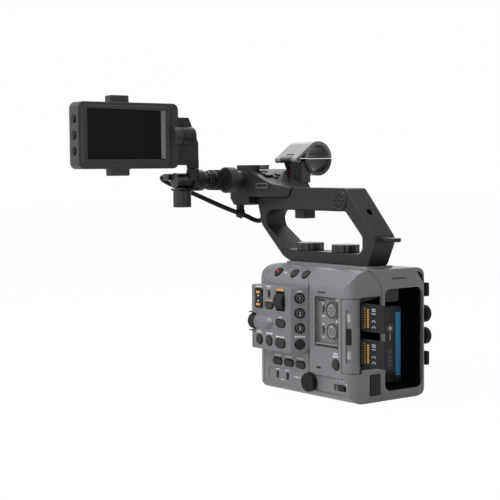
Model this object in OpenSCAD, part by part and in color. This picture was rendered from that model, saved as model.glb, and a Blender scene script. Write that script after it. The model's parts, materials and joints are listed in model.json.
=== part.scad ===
// Digital cinema camera body with top handle, microphone holder and swivelling monitor.
// The origin is the mouth of the tripod thread, +X the operator's right, +Y the lens, +Z up.

/* [Casing] */
// Width of the casing without its side controls
body_w = 93; // [90:0.5:100]
// Depth of the casing from the rear face to the front face
body_d = 130; // [126:0.5:140]
// Height of the casing
body_h = 116; // [114:0.5:124]
// Thickness of the casing walls
wall = 2.6; // [2:0.1:3]
// Radius of the long edge that carries the record button
top_left_r = 20; // [17:0.5:22]
// Radius of the upper right edge
top_right_r = 14; // [10:0.5:16]
// Radius of the two lower edges
bottom_r = 14; // [10:0.5:16]
// Radius of the rear left corner seen from above
rear_corner_r = 12; // [11.5:0.1:12.5]
// Radius of the other corners seen from above
corner_r = 8; // [6:0.5:10]

/* [Battery bay] */
// Width of the bay
bay_w = 44.6; // [44:0.2:46]
// Depth of the bay behind the rear face
bay_d = 66; // [64:0.5:68]
// Height of the bay
bay_h = 90; // [88:0.5:92]
// Width of the battery pack
battery_w = 41.5; // [40:0.5:42]
// Depth of the battery pack
battery_d = 38.1; // [36:0.5:40]
// Height of the battery pack
battery_h = 69.3; // [66:0.5:71]

/* [Memory cards] */
// Width of a card, upright in its slot
card_w = 24; // [23.8:0.1:24.2]
// Length of a card
card_l = 32; // [31:0.5:33]
// Thickness of a card
card_t = 2.1; // [2:0.1:2.3]
// How far a card stands in its slot when it is drawn out
card_held = 3; // [2.5:0.1:4]
// Travel of a card into its slot
card_travel = 27; // [25:0.5:28]

/* [Lens mount] */
// Throat diameter of the lens mount
throat_d = 46.1; // [45:0.1:47]
// Outer diameter of the lens mount ring
mount_d = 64; // [62:0.5:66]
// Distance from the mount face to the sensor
flange_focal = 18; // [17.5:0.5:19]
// Height of the lens axis
lens_z = 60; // [56:0.5:62]

/* [Control block] */
// How far the control block stands out of the left side
block_t = 13.5; // [13:0.1:14.5]
// Height of the control block
block_h = 59; // [58:0.5:61]
// Length of the outer face of the control block
block_l = 60; // [59:0.5:62]
// Length of the slanted face on the side wall
facet_l = 10; // [9:0.5:11]
// Diameter of the ribbed density wheel
wheel_d = 16.8; // [16:0.2:17.4]
// Diameter of the front dial
dial_d = 15; // [14:0.2:15.6]

/* [Handle] */
// Length of the handle frame
handle_l = 168; // [165:0.5:172]
// Height of the handle frame
handle_h = 69; // [67:0.5:72]
// Width of the handle frame
handle_w = 24; // [22:0.5:25]
// Distance from the rear of the handle frame to the tripod thread
handle_back = 59; // [58:0.5:60]
// Diameter of the two fluted handle screws
thumb_d = 25.6; // [24:0.2:26]
// Width of the handle head
head_w = 52; // [50:0.5:54]

/* [Microphone holder] */
// Inner diameter of the microphone ring
ring_d = 26.6; // [26:0.2:27.4]
// Outer diameter of the microphone ring
ring_outer_d = 33.6; // [33:0.2:35]
// Length of the microphone ring
ring_l = 34; // [30:0.5:36]

/* [Monitor arm] */
// Diameter of the arm rod
rod_d = 15; // [14:0.2:16]
// Length of the bare arm rod
rod_l = 37; // [36:0.5:40]
// Outer diameter of the rod clamp
clamp_d = 20.6; // [20:0.2:22]
// Diameter of the large base knob
base_knob_d = 25; // [24:0.5:27]
// Diameter of the clamp knob
clamp_knob_d = 17.6; // [16:0.2:18.4]

/* [Monitor] */
// Width of the monitor case
monitor_w = 108; // [106:0.5:112]
// Height of the monitor case
monitor_h = 61; // [60:0.5:64]
// Thickness of the monitor case
monitor_t = 17; // [16:0.5:19]
// Width of the glass
screen_w = 79.5; // [78:0.5:81]
// Height of the glass
screen_h = 45; // [44:0.5:46]

/* [Hidden] */
$fn = 48;
fine = 72;
over = 1;
seam = 0.3;
fit = 0.3;
shaft_fit = 0.06;
half_w = body_w / 2;
half_d = body_d / 2;
left_x = -half_w;
rear_y = -half_d;

// Standard threads
quarter_r = 3.175;
three_eighths_r = 4.763;
m6_r = 3;

// Casing split lines
front_t = 9;
rear_t = 9;
rear_step = 15;
floor_w = 58;
seam_x = 9.7;
seam_r = 24.3;
left_top_x = 26;
pad_t = 2;
pad_w = 34;
pad_l = 116;
pad_y = 4;
boss_r = 7;
boss_h = 11;
thread_depth = 8;
tripod_pitch = 24;
floor_boss_h = 6.9;
slit_at = [11.3, 107.6];
slit_w = 15.6;
slit_h = 0.8;
slit_depth = 0.9;
vent_points = [[33.3, 112.5], [37.5, 111.8], [40.6, 109], [42.2, 105], [42.5, 100.7]];
vent_depth = 4;
side_slit_share = [0.331, 0.25];
side_slit_l = 6.4;
side_slit_h = 1.4;

// Battery bay and battery
bay_x = 16.9;
bay_floor = 8.4;
bay_r = 6;
liner_t = 1.2;
battery_r = 3;
battery_seat = 2;
latch_w = 12;
latch_d = 5;
flap_w = 20;
flap_h = 12;
flap_t = 2.4;

// Card slots
slot_x = -31.9;
slot_gap = 0.35;
slot_set = 1.2;
card_z_shares = [0.657, 0.392];
card_notch = 3;
mouth_x0 = -33.9;
mouth_x1 = -11;
mouth_z0 = 30;
mouth_h = 63;
unit_d = 46;

// Media door round the rear left corner
door_h = 64.4;
door_z = 27.2;
door_t = 3.4;
door_sweep = 82;
pin_r = 1;
knuckle_r = 1.9;
door_clear = 0.5;
slider_l = 14;
slider_w = 4.2;
slider_t = 1.6;
slider_groove_h = 46;

// Keys: shared sizes
key_t = 2.4;
key_proud = 1;
key_travel = 0.7;
key_floor = 0.3;
key_gap = 0.3;
pad_depth = 6;
cap_r = 0.9;

// Control block
block_z = 40;
block_r = 5;
block_front = 60;
wheel_w = 12;
wheel_x = 4.6;
wheel_ribs = 22;
rib_r = 0.7;
wheel_axle_r = 1.6;
wheel_at_shares = [0.245, 0.775];
dial_w = 9;
dial_x = 4.6;
dial_z_share = 0.418;
dial_axle_r = 2;
barrel_l = 20;
guard_t = 1.2;
rocker_w = 11;
rocker_h = 17;
rocker_swing_r = 9;
rocker_at_shares = [0.77, 0.79];
preset_at_shares = [0.517, 0.87];
facet_key_r = 4.1;
facet_key_z_shares = [0.84, 0.61, 0.383, 0.139];
push_w = 11.5;
push_h = 5.6;
auto_w = 13.5;
auto_h = 6.4;
white_r = 4.4;
menu_w = 14.4;
menu_h = 7.6;
block_key_shares = [[0.517, 0.692], [0.243, 0.437], [0.762, 0.145], [0.522, 0.145], [0.25, 0.132]];

// Left side
exposure_w = 13.6;
exposure_h = 6.2;
exposure_shares = [[0.778, 0.245], [0.651, 0.245], [0.523, 0.245]];
status_r = 4.7;
status_share = [0.149, 0.291];
audio_w = 31.6;
audio_h = 44;
audio_at_share = [0.244, 0.604];
audio_depth = 4.6;
cover_t = 1;
cover_pin_r = 1.1;
audio_dial_r = 7.5;
audio_dial_t = 2;
audio_stem_r = 2;
audio_dial_shares = [[0.212, 0.694], [0.21, 0.533]];
switch_w = 3;
switch_h = 3.4;
switch_t = 2;
switch_run = 1.5;
switch_shares = [[0.313, 0.692], [0.313, 0.532], [0.788, 0.134], [0.676, 0.132]];
low_panel_w = 52;
low_panel_h = 14.6;
low_panel_share = [0.685, 0.132];
low_panel_depth = 1;
channel_h = 14;
channel_z = 8;
channel_d = 1.6;
power_w = 12;
power_h = 5;
power_run = 3;
power_share = [0.12, 0.118];
plug_r = 8.4;
plug_t = 4;
plug_share = [0.418, 0.124];

// Top left edge keys
edge_key_r = 4.6;
edge_key_shares = [0.815, 0.635, 0.512];

// Rear and right side
lever_w = 12;
lever_h = 18;
lever_x = -17.6;
lever_z = 6.4;
lever_t = 3;
lever_travel = 1.5;
cap_x = 5.8;
round_cap_r = 7.8;
round_cap_z_shares = [0.627, 0.454];
flap_cap_h = 12.4;
flap_cap_d = 13;
flap_cap_x = 4.2;
flap_cap_z_shares = [0.819, 0.282];
cap_y_share = 0.066;
rosette_r = 15.9;
rosette_t = 3;
rosette_teeth = 60;
rosette_share = [0.7, 0.62];
tooth_w = 0.9;
tooth_h = 0.8;

// Sensor, boards and fan
sensor_w = 38;
sensor_h = 24;
sensor_t = 6;
frame_w = 62;
frame_h = 50;
mount_lip = 5;
mount_screw_r = 1.4;
mount_screw_pcd = 56;
release_r = 4;
release_travel = 2;
board_t = 1.6;
board_gap = 9;
board_w = 40;
board_h = 60;
fin_t = 1.2;
fin_count = 9;
fin_h = 10;
fan_r = 13;
fan_t = 7;
fan_hub_r = 5;
fan_blades = 9;
fan_axle_r = 1.2;
duct_t = 2;

// Fasteners
screw_r = 1.6;
screw_t = 1;
screw_slot = 0.8;

// Handle frame, outline as shares of its length and height
frame_shares = [[0.057, 0], [0.714, 0], [0.771, 0.058], [0.964, 0.472], [1, 0.754], [1, 0.875],
    [0.708, 0.875], [0.679, 1], [0.23, 1], [0, 0.384], [0, 0.29]];
loop_shares = [[0.235, 0.696], [0.101, 0.374], [0.101, 0.225], [0.122, 0.152], [0.71, 0.152],
    [0.762, 0.238], [0.911, 0.464], [0.926, 0.58], [0.905, 0.667], [0.863, 0.696]];
frame_round = 2.6;
rail_share = 0.152;
thumb_h = 7;
thumb_flutes = 11;
flute_r = 1.7;
shank_r = 3.1;
thumb_y_shares = [0.61, 0.312];
bump_shares = [0.615, 0.696];
bump_l = 14;
bump_h = 8;
bump_w = 14;
speaker_r = 8.6;
speaker_t = 1.2;
speaker_hole_r = 1.25;
speaker_ring_r = 5.3;
speaker_holes = 8;
speaker_share = [0.275, 0.832];
rear_thread_share = [0.113, 0.7];
hook_l = 17;
hook_w = 10;
hook_t = 3.6;
hook_z_share = 0.345;

// Handle head, outline as shares of its length and height
head_l = 84;
head_h = 35;
head_back = 57;
head_right = 30;
head_z = 170;
head_shares = [[0.045, 0.24], [0.64, 0.24], [0.64, 0.06], [0.67, 0], [0.93, 0], [1, 0.17], [1, 0.93],
    [0.97, 1], [0.655, 1], [0.238, 0.595], [0, 0.487]];
neck_l = 26;
horn_w = 11;
horn_l = 24;
horn_h = 4;
horn_y = 106;
deck_r = 2;
deck_key_r = 2.6;
deck_keys = [[0.5, 0.6], [0.36, 0.42], [0.65, 0.44], [0.56, 0.24]];
handle_rec_share = [0.83, 0.74];
handle_rec_r = 3.6;
zoom_w = 9;
zoom_l = 16;
zoom_t = 3;
zoom_share = [0.24, 0.66];
zoom_swing_r = 6;
xlr_r = 10.4;
xlr_t = 3;
xlr_bore_r = 7.9;
xlr_skin = 0.8;
xlr_core_r = 5.8;
xlr_depth = 14;
xlr_pin_r = 1.2;
xlr_y_shares = [0.525, 0.835];
xlr_z = 188;
shoe_w = 20.8;
shoe_l = 18;
shoe_t = 1;
shoe_h = 4;
shoe_lip = 3.2;
shoe_y = 119.5;

// Microphone holder
ring_x = 38;
ring_y = 76;
ring_z = 214.8;
hinge_x = 25.4;
hinge_r = 2.8;
hinge_pin_r = 1.1;
ring_split = 0.5;
leaf_gap = 0.35;
mic_foot_w = 11;
mic_foot_l = 18;
mic_foot_x = 18;

// Monitor arm
pivot_y = 120;
pivot_z = 194.6;
boss_x = -28;
boss_d = 18;
link_t = 5.6;
rod_y = 144;
holder_w = 20;
holder_l = 12;
collar_l = 9;
collar_r = 9;
collar_groove = 1.2;
base_knob_t = 9.3;
knob_face = 1.6;
knob_rim = 2.4;
knob_flutes = 36;
knob_flute_r = 0.7;
gland_w = 10;
gland_h = 6.4;
clamp_l = 14;
clamp_at = 5.5;
tongue_t = 2.1;
tongue_w = 14;
tongue_l = 17;
clamp_knob_h = 16;
clamp_flutes = 10;
clamp_flute_r = 1.1;
stem_r = 2.5;

// Monitor bracket and monitor
neck_x = -68;
neck_y = 139;
neck_r = 6;
neck_h = 7;
neck_pin_r = 3;
plate_y = 127;
plate_t = 12;
plate_w = 23.4;
plate_h = 45;
plate_cut_w = 11;
plate_cut_h = 24;
plate_z = 209.4;
tilt_y = 124.4;
tilt_z = 236.8;
tilt_r = 8.6;
tilt_pin_r = 3;
tilt_gap = 0.4;
tilt_in = 7.6;
monitor_right = -93.2;
monitor_face = 125;
monitor_z = 206.2;
case_r = 6;
step_in = 3.4;
step_t = 1.6;
step_right = 11;
screen_left = 9;
screen_drop = 9.2;
screen_t = 1.2;
screen_sink = 3.6;
bevel_right = 7;
lug_w = 20;
lug_h = 6.4;
lug_d = 10;
lug_cut = 3;
lug_x_share = 0.42;
side_key_r = 3.4;
side_key_z_shares = [0.74, 0.5, 0.265];

// Cable, its clip and its plug
cable_r = 2.3;
cable_sides = 8;
cable_route = [[-85, 158.3, 198], [-85, 164, 198], [-84, 169, 197.2], [-80, 173, 195.2], [-74, 173.5, 192.2],
    [-67, 170, 188.6], [-59, 163.5, 184.4], [-50, 156, 179.3], [-41, 148.6, 173.8], [-32, 141.4, 168.6],
    [-24, 135.4, 164.4], [-17, 131.2, 161.2], [-10, 129.4, 158.4], [-3.5, 129.6, 155.6],
    [0.8, 128.4, 154], [2.6, 125.2, 153.9], [2.6, 120.6, 155.3]];
clip_at = 11;
clip_l = 6;
clip_r = 4.4;
clip_fit = 0.35;
jack_x = 2.6;
jack_y = 106.4;
jack_z = 159.8;
jack_r = 4;
plug_body_r = 3.8;
plug_body_l = 14.6;
plug_tilt = 17.5;

// Derived places
block_x = left_x - block_t;
block_back = block_front - block_l;
facet_turn = atan2(block_t, facet_l);
corner_x = left_x + rear_corner_r;
corner_y = rear_y + rear_corner_r;
pin_reach = rear_corner_r - knuckle_r - seam / 3;
pin_at = [corner_x - pin_reach * cos(door_sweep), corner_y - pin_reach * sin(door_sweep)];
slot_face = rear_y + slot_set;
rail_z = body_h + pad_t;
deck_rise = (head_shares[8][1] - head_shares[9][1]) * head_h;
deck_run = (head_shares[8][0] - head_shares[9][0]) * head_l;
deck_turn = atan2(deck_rise, deck_run);
deck_len = norm([deck_rise, deck_run]);
head_left = head_right - head_w;
back_rise = (1 - frame_shares[9][1]) * handle_h;
back_run = (frame_shares[8][0] - frame_shares[9][0]) * handle_l;
back_turn = atan2(back_rise, back_run);
mic_hinge = [ring_x - hinge_x, ring_z - ring_d / 20];
lid_turn = atan2(ring_z - mic_hinge[1], hinge_x)
    + asin((ring_outer_d / 2 - hinge_r) / norm([ring_z - mic_hinge[1], hinge_x]));
monitor_left = monitor_right - monitor_w;
floor_screws = [for (sx = [-0.44, 0.44], sy = [-0.36, 0.36]) [sx * floor_w, sy * body_d, 0]];

function at_y(share) = rear_y + share * body_d;
function at_z(share) = share * body_h;
function block_y(share) = block_back + share * block_l;
function block_up(share) = block_z + share * block_h;
function frame_point(share) = [share[0] * handle_l - handle_back, rail_z + share[1] * handle_h];
function head_point(share) = [head_back + share[0] * head_l, head_z + share[1] * head_h];
function unit(v) = v / norm(v);
function last(list) = len(list) - 1;
function heading(route, i) =
    i == 0 ? unit(route[1] - route[0]) :
    i == last(route) ? unit(route[i] - route[i - 1]) :
    unit(unit(route[i + 1] - route[i]) + unit(route[i] - route[i - 1]));
function across(direction) = unit(cross(direction, [0, 0, 1]));

// Flat shapes and the planes they are pushed out from
module side_slab(x, t) { translate([x, 0, 0]) rotate([90, 0, 90]) linear_extrude(t) children(); }
module cross_slab(y, t) { translate([0, y + t, 0]) rotate([90, 0, 0]) linear_extrude(t) children(); }
module plan_slab(z, t) { translate([0, 0, z]) linear_extrude(t) children(); }
module facing_left(place) { translate(place) rotate([0, -90, 0]) children(); }
module facing_right(place) { translate(place) rotate([0, 90, 0]) children(); }
module facing_rear(place) { translate(place) rotate([90, 0, 0]) children(); }
module facing_front(place) { translate(place) rotate([-90, 0, 0]) children(); }
module on_facet(z) {
    translate([(block_x + left_x) / 2, block_back - facet_l / 2, z]) rotate([0, 0, facet_turn])
        rotate([0, -90, 0]) children();
}
module on_edge(y) {
    translate([left_x + top_left_r, y, body_h - top_left_r]) rotate([0, -45, 0])
        translate([0, 0, top_left_r]) children();
}
module on_deck(share) {
    translate([head_left + share[0] * head_w, head_back + head_shares[9][0] * head_l,
        head_z + head_shares[9][1] * head_h]) rotate([deck_turn, 0, 0])
        translate([0, share[1] * deck_len, 0]) children();
}

module rounded(w, h, r) {
    square([w - 2 * r, h], center = true);
    square([w, h - 2 * r], center = true);
    for (sx = [-1, 1], sy = [-1, 1]) translate([sx * (w / 2 - r), sy * (h / 2 - r)]) circle(r);
}
module lozenge(w, h) { rounded(w, h, min(w, h) / 2 - seam / 3); }
module corner_cut(r) {
    difference() {
        translate([-over, -over]) square(r + over);
        translate([r, r]) circle(r, $fn = fine);
    }
}

// Casing form
module casing_cross(inset) {
    low = inset;
    high = body_h - inset;
    side = half_w - inset;
    difference() {
        translate([-side, low]) square([2 * side, high - low]);
        translate([-side, high]) mirror([0, 1]) corner_cut(top_left_r - inset);
        translate([side, high]) rotate(180) corner_cut(top_right_r - inset);
        translate([-side, low]) corner_cut(bottom_r - inset);
        translate([side, low]) mirror([1, 0]) corner_cut(bottom_r - inset);
    }
}
module casing_plan(inset) {
    end = half_d - inset;
    side = half_w - inset;
    difference() {
        translate([-side, -end]) square([2 * side, 2 * end]);
        translate([-side, -end]) corner_cut(rear_corner_r - inset);
        translate([-side, end]) mirror([0, 1]) corner_cut(corner_r - inset);
        translate([side, end]) rotate(180) corner_cut(corner_r - inset);
        translate([side, -end]) mirror([1, 0]) corner_cut(corner_r - inset);
    }
}
module casing_block(inset) {
    intersection() {
        cross_slab(rear_y + inset, body_d - 2 * inset) casing_cross(inset);
        plan_slab(inset, body_h - 2 * inset) casing_plan(inset);
    }
}
module casing_shell() { difference() { casing_block(0); casing_block(wall); } }
module left_zone(grow) {
    cross_slab(rear_y - over, rear_step + over + grow) difference() {
        translate([left_x - over, -over]) square([half_w + over - seam_x + grow, body_h + 2 * over]);
        translate([grow - seam_x, body_h + over]) rotate(180) corner_cut(seam_r);
    }
    translate([left_x - over, rear_y + rear_step - over, -over])
        cube([half_w + over - left_top_x + grow, body_d, body_h + 2 * over]);
}
module front_zone(grow) {
    translate([left_x - over, half_d - front_t - grow, -over])
        cube([body_w + 2 * over, front_t + grow + over, body_h + 2 * over]);
}
module rear_zone(grow) {
    translate([left_x - over, rear_y - over, -over])
        cube([body_w + 2 * over, rear_t + over + grow, body_h + 2 * over]);
}
module floor_zone(grow) {
    translate([-floor_w / 2 - grow, rear_y + rear_t - grow, -over])
        cube([floor_w + 2 * grow, body_d - rear_t - front_t + 2 * grow, wall + over + grow]);
}

// Keys: the pocket is cut in what carries the key, the key stands in it
module key_pocket(w, h) {
    translate([0, 0, key_proud - key_t - key_travel - key_floor])
        linear_extrude(key_t + key_travel + over) lozenge(w + 2 * key_gap, h + 2 * key_gap);
}
module key_cap(w, h) {
    translate([0, 0, key_proud - key_t]) linear_extrude(key_t - cap_r / 2) lozenge(w, h);
    translate([0, 0, key_proud - cap_r / 2 - seam / 3])
        linear_extrude(cap_r / 2 + seam / 3) lozenge(w - cap_r, h - cap_r);
}
module switch_pocket(w, h, run) {
    translate([0, 0, -switch_t]) linear_extrude(switch_t + over) rounded(w + 2 * fit, h + 2 * run + 2 * fit, cap_r);
}
module switch_knob(w, h) {
    translate([0, 0, seam / 3 - switch_t]) linear_extrude(switch_t) rounded(w, h, cap_r);
}
module round_pocket(r) { key_pocket(2 * r, 2 * r); }

module left_pads() {
    translate([left_x, rear_y + rear_corner_r, channel_z - wall])
        cube([pad_depth, body_d - rear_corner_r - front_t - seam, block_z]);
    translate([left_x, at_y(audio_at_share[0]) - audio_w / 2 - wall, block_z])
        cube([audio_depth + wall + 1 * seam, audio_w + 2 * wall, audio_h + 2 * switch_h + 2 * wall]);
    translate([left_x, rear_y, door_z - wall - seam])
        cube([mouth_x0 - left_x, rear_corner_r + wall, door_h + 2 * wall + 2 * seam]);
    translate([lever_x - lever_w / 2 - wall, rear_y, wall / 2])
        cube([lever_w + 1.5 * wall, lever_t + lever_travel + wall, lever_z + lever_h]);
    for (share = edge_key_shares) on_edge(at_y(share))
        translate([0, 0, -pad_depth]) cylinder(h = pad_depth, r = edge_key_r + wall);
}
module door_pocket() {
    translate([0, 0, door_z - seam]) linear_extrude(door_h + 2 * seam) {
        difference() {
            translate([left_x - over, rear_y - over])
                square([mouth_x0 - left_x + 2 * over, rear_corner_r + over + seam]);
            translate([corner_x, corner_y]) circle(rear_corner_r - door_t - door_clear);
            translate([corner_x, corner_y]) square(rear_corner_r);
        }
        translate(pin_at) circle(knuckle_r + door_clear);
    }
}
module left_shell() {
    color("dimgray") difference() {
        union() {
            difference() {
                intersection() { casing_shell(); left_zone(0); }
                front_zone(seam);
                floor_zone(seam);
            }
            intersection() { casing_block(0); left_pads(); }
        }
        door_pocket();
        translate([mouth_x0, rear_y - over, mouth_z0])
            cube([mouth_x1 - mouth_x0, wall + pad_depth, mouth_h]);
        translate([mouth_x0, slot_face, mouth_z0])
            cube([mouth_x1 - mouth_x0, unit_d, mouth_h]);
        translate([left_x - over, at_y(audio_at_share[0]) - audio_w / 2, at_z(audio_at_share[1]) - audio_h / 2])
            cube([audio_depth + over, audio_w, audio_h]);
        for (i = [0, 1])
            facing_left([left_x + audio_depth, at_y(audio_dial_shares[i][0]), at_z(audio_dial_shares[i][1])])
                translate([0, 0, -audio_dial_t]) cylinder(h = audio_dial_t + over, r = audio_stem_r + shaft_fit);
        for (i = [0, 1])
            facing_left([left_x + audio_depth, at_y(switch_shares[i][0]), at_z(switch_shares[i][1])])
                rotate(90) switch_pocket(switch_w, switch_h, switch_run);
        facing_left([left_x, at_y(low_panel_share[0]), at_z(low_panel_share[1])])
            translate([0, 0, -low_panel_depth]) linear_extrude(low_panel_depth + over)
            rounded(low_panel_h, low_panel_w, bay_r);
        for (i = [2, 3])
            facing_left([left_x + low_panel_depth, at_y(switch_shares[i][0]), at_z(switch_shares[i][1])])
                rotate(90) switch_pocket(switch_w, switch_h, switch_run);
        translate([left_x - over, rear_y - over, channel_z])
            cube([channel_d + over, at_y(plug_share[0]) - rear_y + over, channel_h]);
        facing_left([left_x + channel_d, at_y(plug_share[0]), at_z(plug_share[1])])
            cylinder(h = channel_d + over, r = plug_r + seam);
        facing_left([left_x + channel_d, at_y(power_share[0]), at_z(power_share[1])])
            switch_pocket(power_h, power_w, power_run / 2);
        for (share = exposure_shares) facing_left([left_x, at_y(share[0]), at_z(share[1])])
            key_pocket(exposure_h, exposure_w);
        facing_left([left_x, at_y(status_share[0]), at_z(status_share[1])]) round_pocket(status_r);
        facing_rear([lever_x, rear_y + lever_t + lever_travel, lever_z + lever_h / 2])
            linear_extrude(lever_t + lever_travel + over) rounded(lever_w + 2 * fit, lever_h + 2 * fit, cap_r);
        for (share = edge_key_shares) on_edge(at_y(share)) round_pocket(edge_key_r);
        facing_left([left_x, at_y(side_slit_share[0]), at_z(side_slit_share[1])])
            translate([0, 0, -slit_depth]) linear_extrude(slit_depth + over)
            square([side_slit_h, side_slit_l], center = true);
    }
    color("dimgray") translate([pin_at[0], pin_at[1], door_z - wall]) cylinder(h = door_h + 2 * wall, r = pin_r);
    color("dimgray") facing_front([left_x + cover_pin_r + cover_t / 2, at_y(audio_at_share[0]) - audio_w / 2 - wall / 2,
        at_z(audio_at_share[1]) - audio_h / 2 + 2 * cover_pin_r]) cylinder(h = audio_w + wall, r = cover_pin_r);
}

module top_shell() {
    color("dimgray") difference() {
        union() {
            difference() {
                casing_shell();
                left_zone(seam);
                rear_zone(seam);
                front_zone(seam);
                floor_zone(seam);
            }
            difference() {
                plan_slab(body_h - wall / 2, pad_t + wall / 2) translate([0, pad_y]) rounded(pad_w, pad_l, bay_r);
                translate([-half_w, half_d - front_t - seam, 0]) cube([body_w, front_t + seam, body_h + seam / 3]);
            }
            for (share = thumb_y_shares) translate([0, frame_point([share, 0])[0], body_h - boss_h])
                cylinder(h = boss_h, r = boss_r);
        }
        for (share = thumb_y_shares)
            translate([0, frame_point([share, 0])[0], rail_z - thread_depth - fit])
                cylinder(h = thread_depth + fit + over, r = shank_r + shaft_fit);
        facing_right([half_w - wall - over, at_y(rosette_share[0]), at_z(rosette_share[1])])
            cylinder(h = wall + 2 * over, r = m6_r + fit);
        for (i = [0 : fin_count - 1])
            translate([half_w - wall - over, at_y(0.5) + i * (fin_t + seam) * 2, at_z(0.24)])
                cube([wall + 2 * over, fin_t + seam, at_z(0.2)]);
    }
}

module rear_frame() {
    color("gray") difference() {
        intersection() { casing_shell(); rear_zone(0); }
        left_zone(seam);
        translate([bay_x, 0, bay_floor + bay_h / 2]) cross_slab(rear_y - over, rear_t + 2 * over)
            rounded(bay_w, bay_h, bay_r);
        cross_slab(rear_y - over, slit_depth + over)
            translate(slit_at) square([slit_w, slit_h], center = true);
        cross_slab(rear_y - over, vent_depth + over) polygon(vent_points);
    }
}

module front_plate() {
    color("dimgray") difference() {
        union() {
            intersection() { casing_shell(); front_zone(0); }
            facing_front([half_w - corner_r, half_d - pad_depth, lens_z - mount_d / 4])
                cylinder(h = pad_depth - wall / 2, r = release_r + wall / 2);
        }
        facing_front([0, half_d - wall - over, lens_z]) cylinder(h = wall + 2 * over, r = throat_d / 2 + wall);
        facing_front([half_w - corner_r, half_d - pad_depth + wall / 2, lens_z - mount_d / 4])
            cylinder(h = pad_depth, r = release_r + fit);
    }
}

module bottom_plate() {
    color("dimgray") difference() {
        union() {
            intersection() { casing_shell(); floor_zone(0); }
            for (i = [0, 1]) translate([0, i * tripod_pitch, 0]) cylinder(h = floor_boss_h, r = boss_r);
        }
        translate([0, 0, -over]) cylinder(h = pad_depth + over, r = quarter_r);
        translate([0, tripod_pitch, -over]) cylinder(h = pad_depth + over, r = three_eighths_r);
        for (place = floor_screws) translate([place[0], place[1], -over])
            cylinder(h = screw_t + shaft_fit + over, r = screw_r + shaft_fit);
    }
}

module bay_liner() {
    w = bay_w + 2 * liner_t;
    color("black") difference() {
        translate([bay_x, 0, bay_floor + bay_h / 2]) cross_slab(rear_y + wall + seam, bay_d - wall)
            rounded(w, bay_h + 2 * liner_t, bay_r + liner_t);
        translate([bay_x, 0, bay_floor + bay_h / 2]) cross_slab(rear_y, bay_d - 2 * liner_t)
            rounded(bay_w, bay_h, bay_r);
    }
    color("dimgray") translate([bay_x - bay_w / 2, battery_face() + seam, bay_floor + bay_h - flap_h])
        cube([flap_w, flap_t, flap_h]);
    color("silver") for (side = [-1, 1])
        translate([bay_x + side * latch_w, battery_face() - latch_d, bay_floor])
            cube([latch_d, latch_d + over, battery_seat]);
}
function battery_face() = rear_y + bay_d - 2 * liner_t - seam - battery_d;

module battery() {
    color("black") translate([bay_x, 0, bay_floor + battery_seat + battery_h / 2])
        cross_slab(battery_face(), battery_d) rounded(battery_w, battery_h, battery_r);
}

module lens_mount() {
    color("silver") facing_front([0, half_d + seam / 3, lens_z]) difference() {
        cylinder(h = flange_focal, r = mount_d / 2, $fn = fine);
        translate([0, 0, -over]) {
            cylinder(h = flange_focal + 2 * over, r = throat_d / 2, $fn = fine);
            cylinder(h = flange_focal - mount_lip + over, r = throat_d / 2 + wall, $fn = fine);
        }
        for (i = [0 : 3]) rotate(45 + i * 90) translate([mount_screw_pcd / 2, 0, flange_focal - screw_t])
            cylinder(h = screw_t + over, r = mount_screw_r);
    }
}
module lens_release() {
    color("black") facing_front([half_w - corner_r, half_d + release_travel - pad_depth + wall / 2 + fit,
        lens_z - mount_d / 4]) cylinder(h = pad_depth - wall / 2, r = release_r);
}

module sensor_unit() {
    color("silver") facing_rear([0, half_d - wall - seam, lens_z]) linear_extrude(board_t)
        square([frame_w, frame_h], center = true);
    color("black") facing_rear([0, half_d, lens_z]) linear_extrude(sensor_t)
        square([sensor_w, sensor_h], center = true);
}
function board_y(i) = half_d - wall - (i + 1) * board_gap - sensor_t;
module main_board() {
    fan_y = fan_at()[1];
    color("green") for (i = [0, 1]) translate([-board_w, board_y(i), at_z(0.14)])
        cube([1.9 * board_w, board_t, board_h]);
    color("silver") for (sx = [-0.9, 0.85], z = [at_z(0.16), at_z(0.62)])
        facing_rear([sx * board_w, half_d - wall - seam / 3, z])
        cylinder(h = 2 * board_gap + sensor_t + board_t, r = duct_t);
    color("silver") for (i = [0 : fin_count - 1])
        translate([i * 2 * fin_t - board_w / 2, board_y(1) - fin_h, at_z(0.2)]) cube([fin_t, fin_h, board_w]);
    color("gray") facing_right(fan_at()) {
        difference() {
            cylinder(h = fan_t + 2 * duct_t, r = fan_r + fit + duct_t);
            translate([0, 0, -over]) cylinder(h = fan_t + 2 * duct_t + 2 * over, r = fan_r + fit);
        }
        for (i = [0 : 2]) rotate(i * 120) translate([0, -duct_t / 2, 0])
            cube([fan_r + duct_t, duct_t, duct_t - fit]);
        cylinder(h = fan_t + duct_t, r = fan_axle_r);
    }
    color("gray") translate([fan_at()[0], fan_y + fan_r + duct_t / 2, fan_at()[2] - duct_t])
        cube([duct_t, board_y(1) - fan_y - fan_r - (duct_t - board_t) / 2, 2 * duct_t]);
}
function fan_at() = [half_w - wall - fan_t - 2.5 * duct_t, board_y(1) - fan_r - 2 * duct_t, at_z(0.5)];
module fan_rotor() {
    color("black") facing_right(fan_at()) translate([0, 0, duct_t]) difference() {
        union() {
            cylinder(h = fan_t, r = fan_hub_r);
            for (i = [0 : fan_blades - 1]) rotate(i * 360 / fan_blades) translate([fan_hub_r - fin_t, -fin_t / 2, 0])
                cube([fan_r - fan_hub_r, fin_t, fan_t]);
        }
        translate([0, 0, -over]) cylinder(h = fan_t + 2 * over, r = fan_axle_r + shaft_fit);
    }
}

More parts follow.
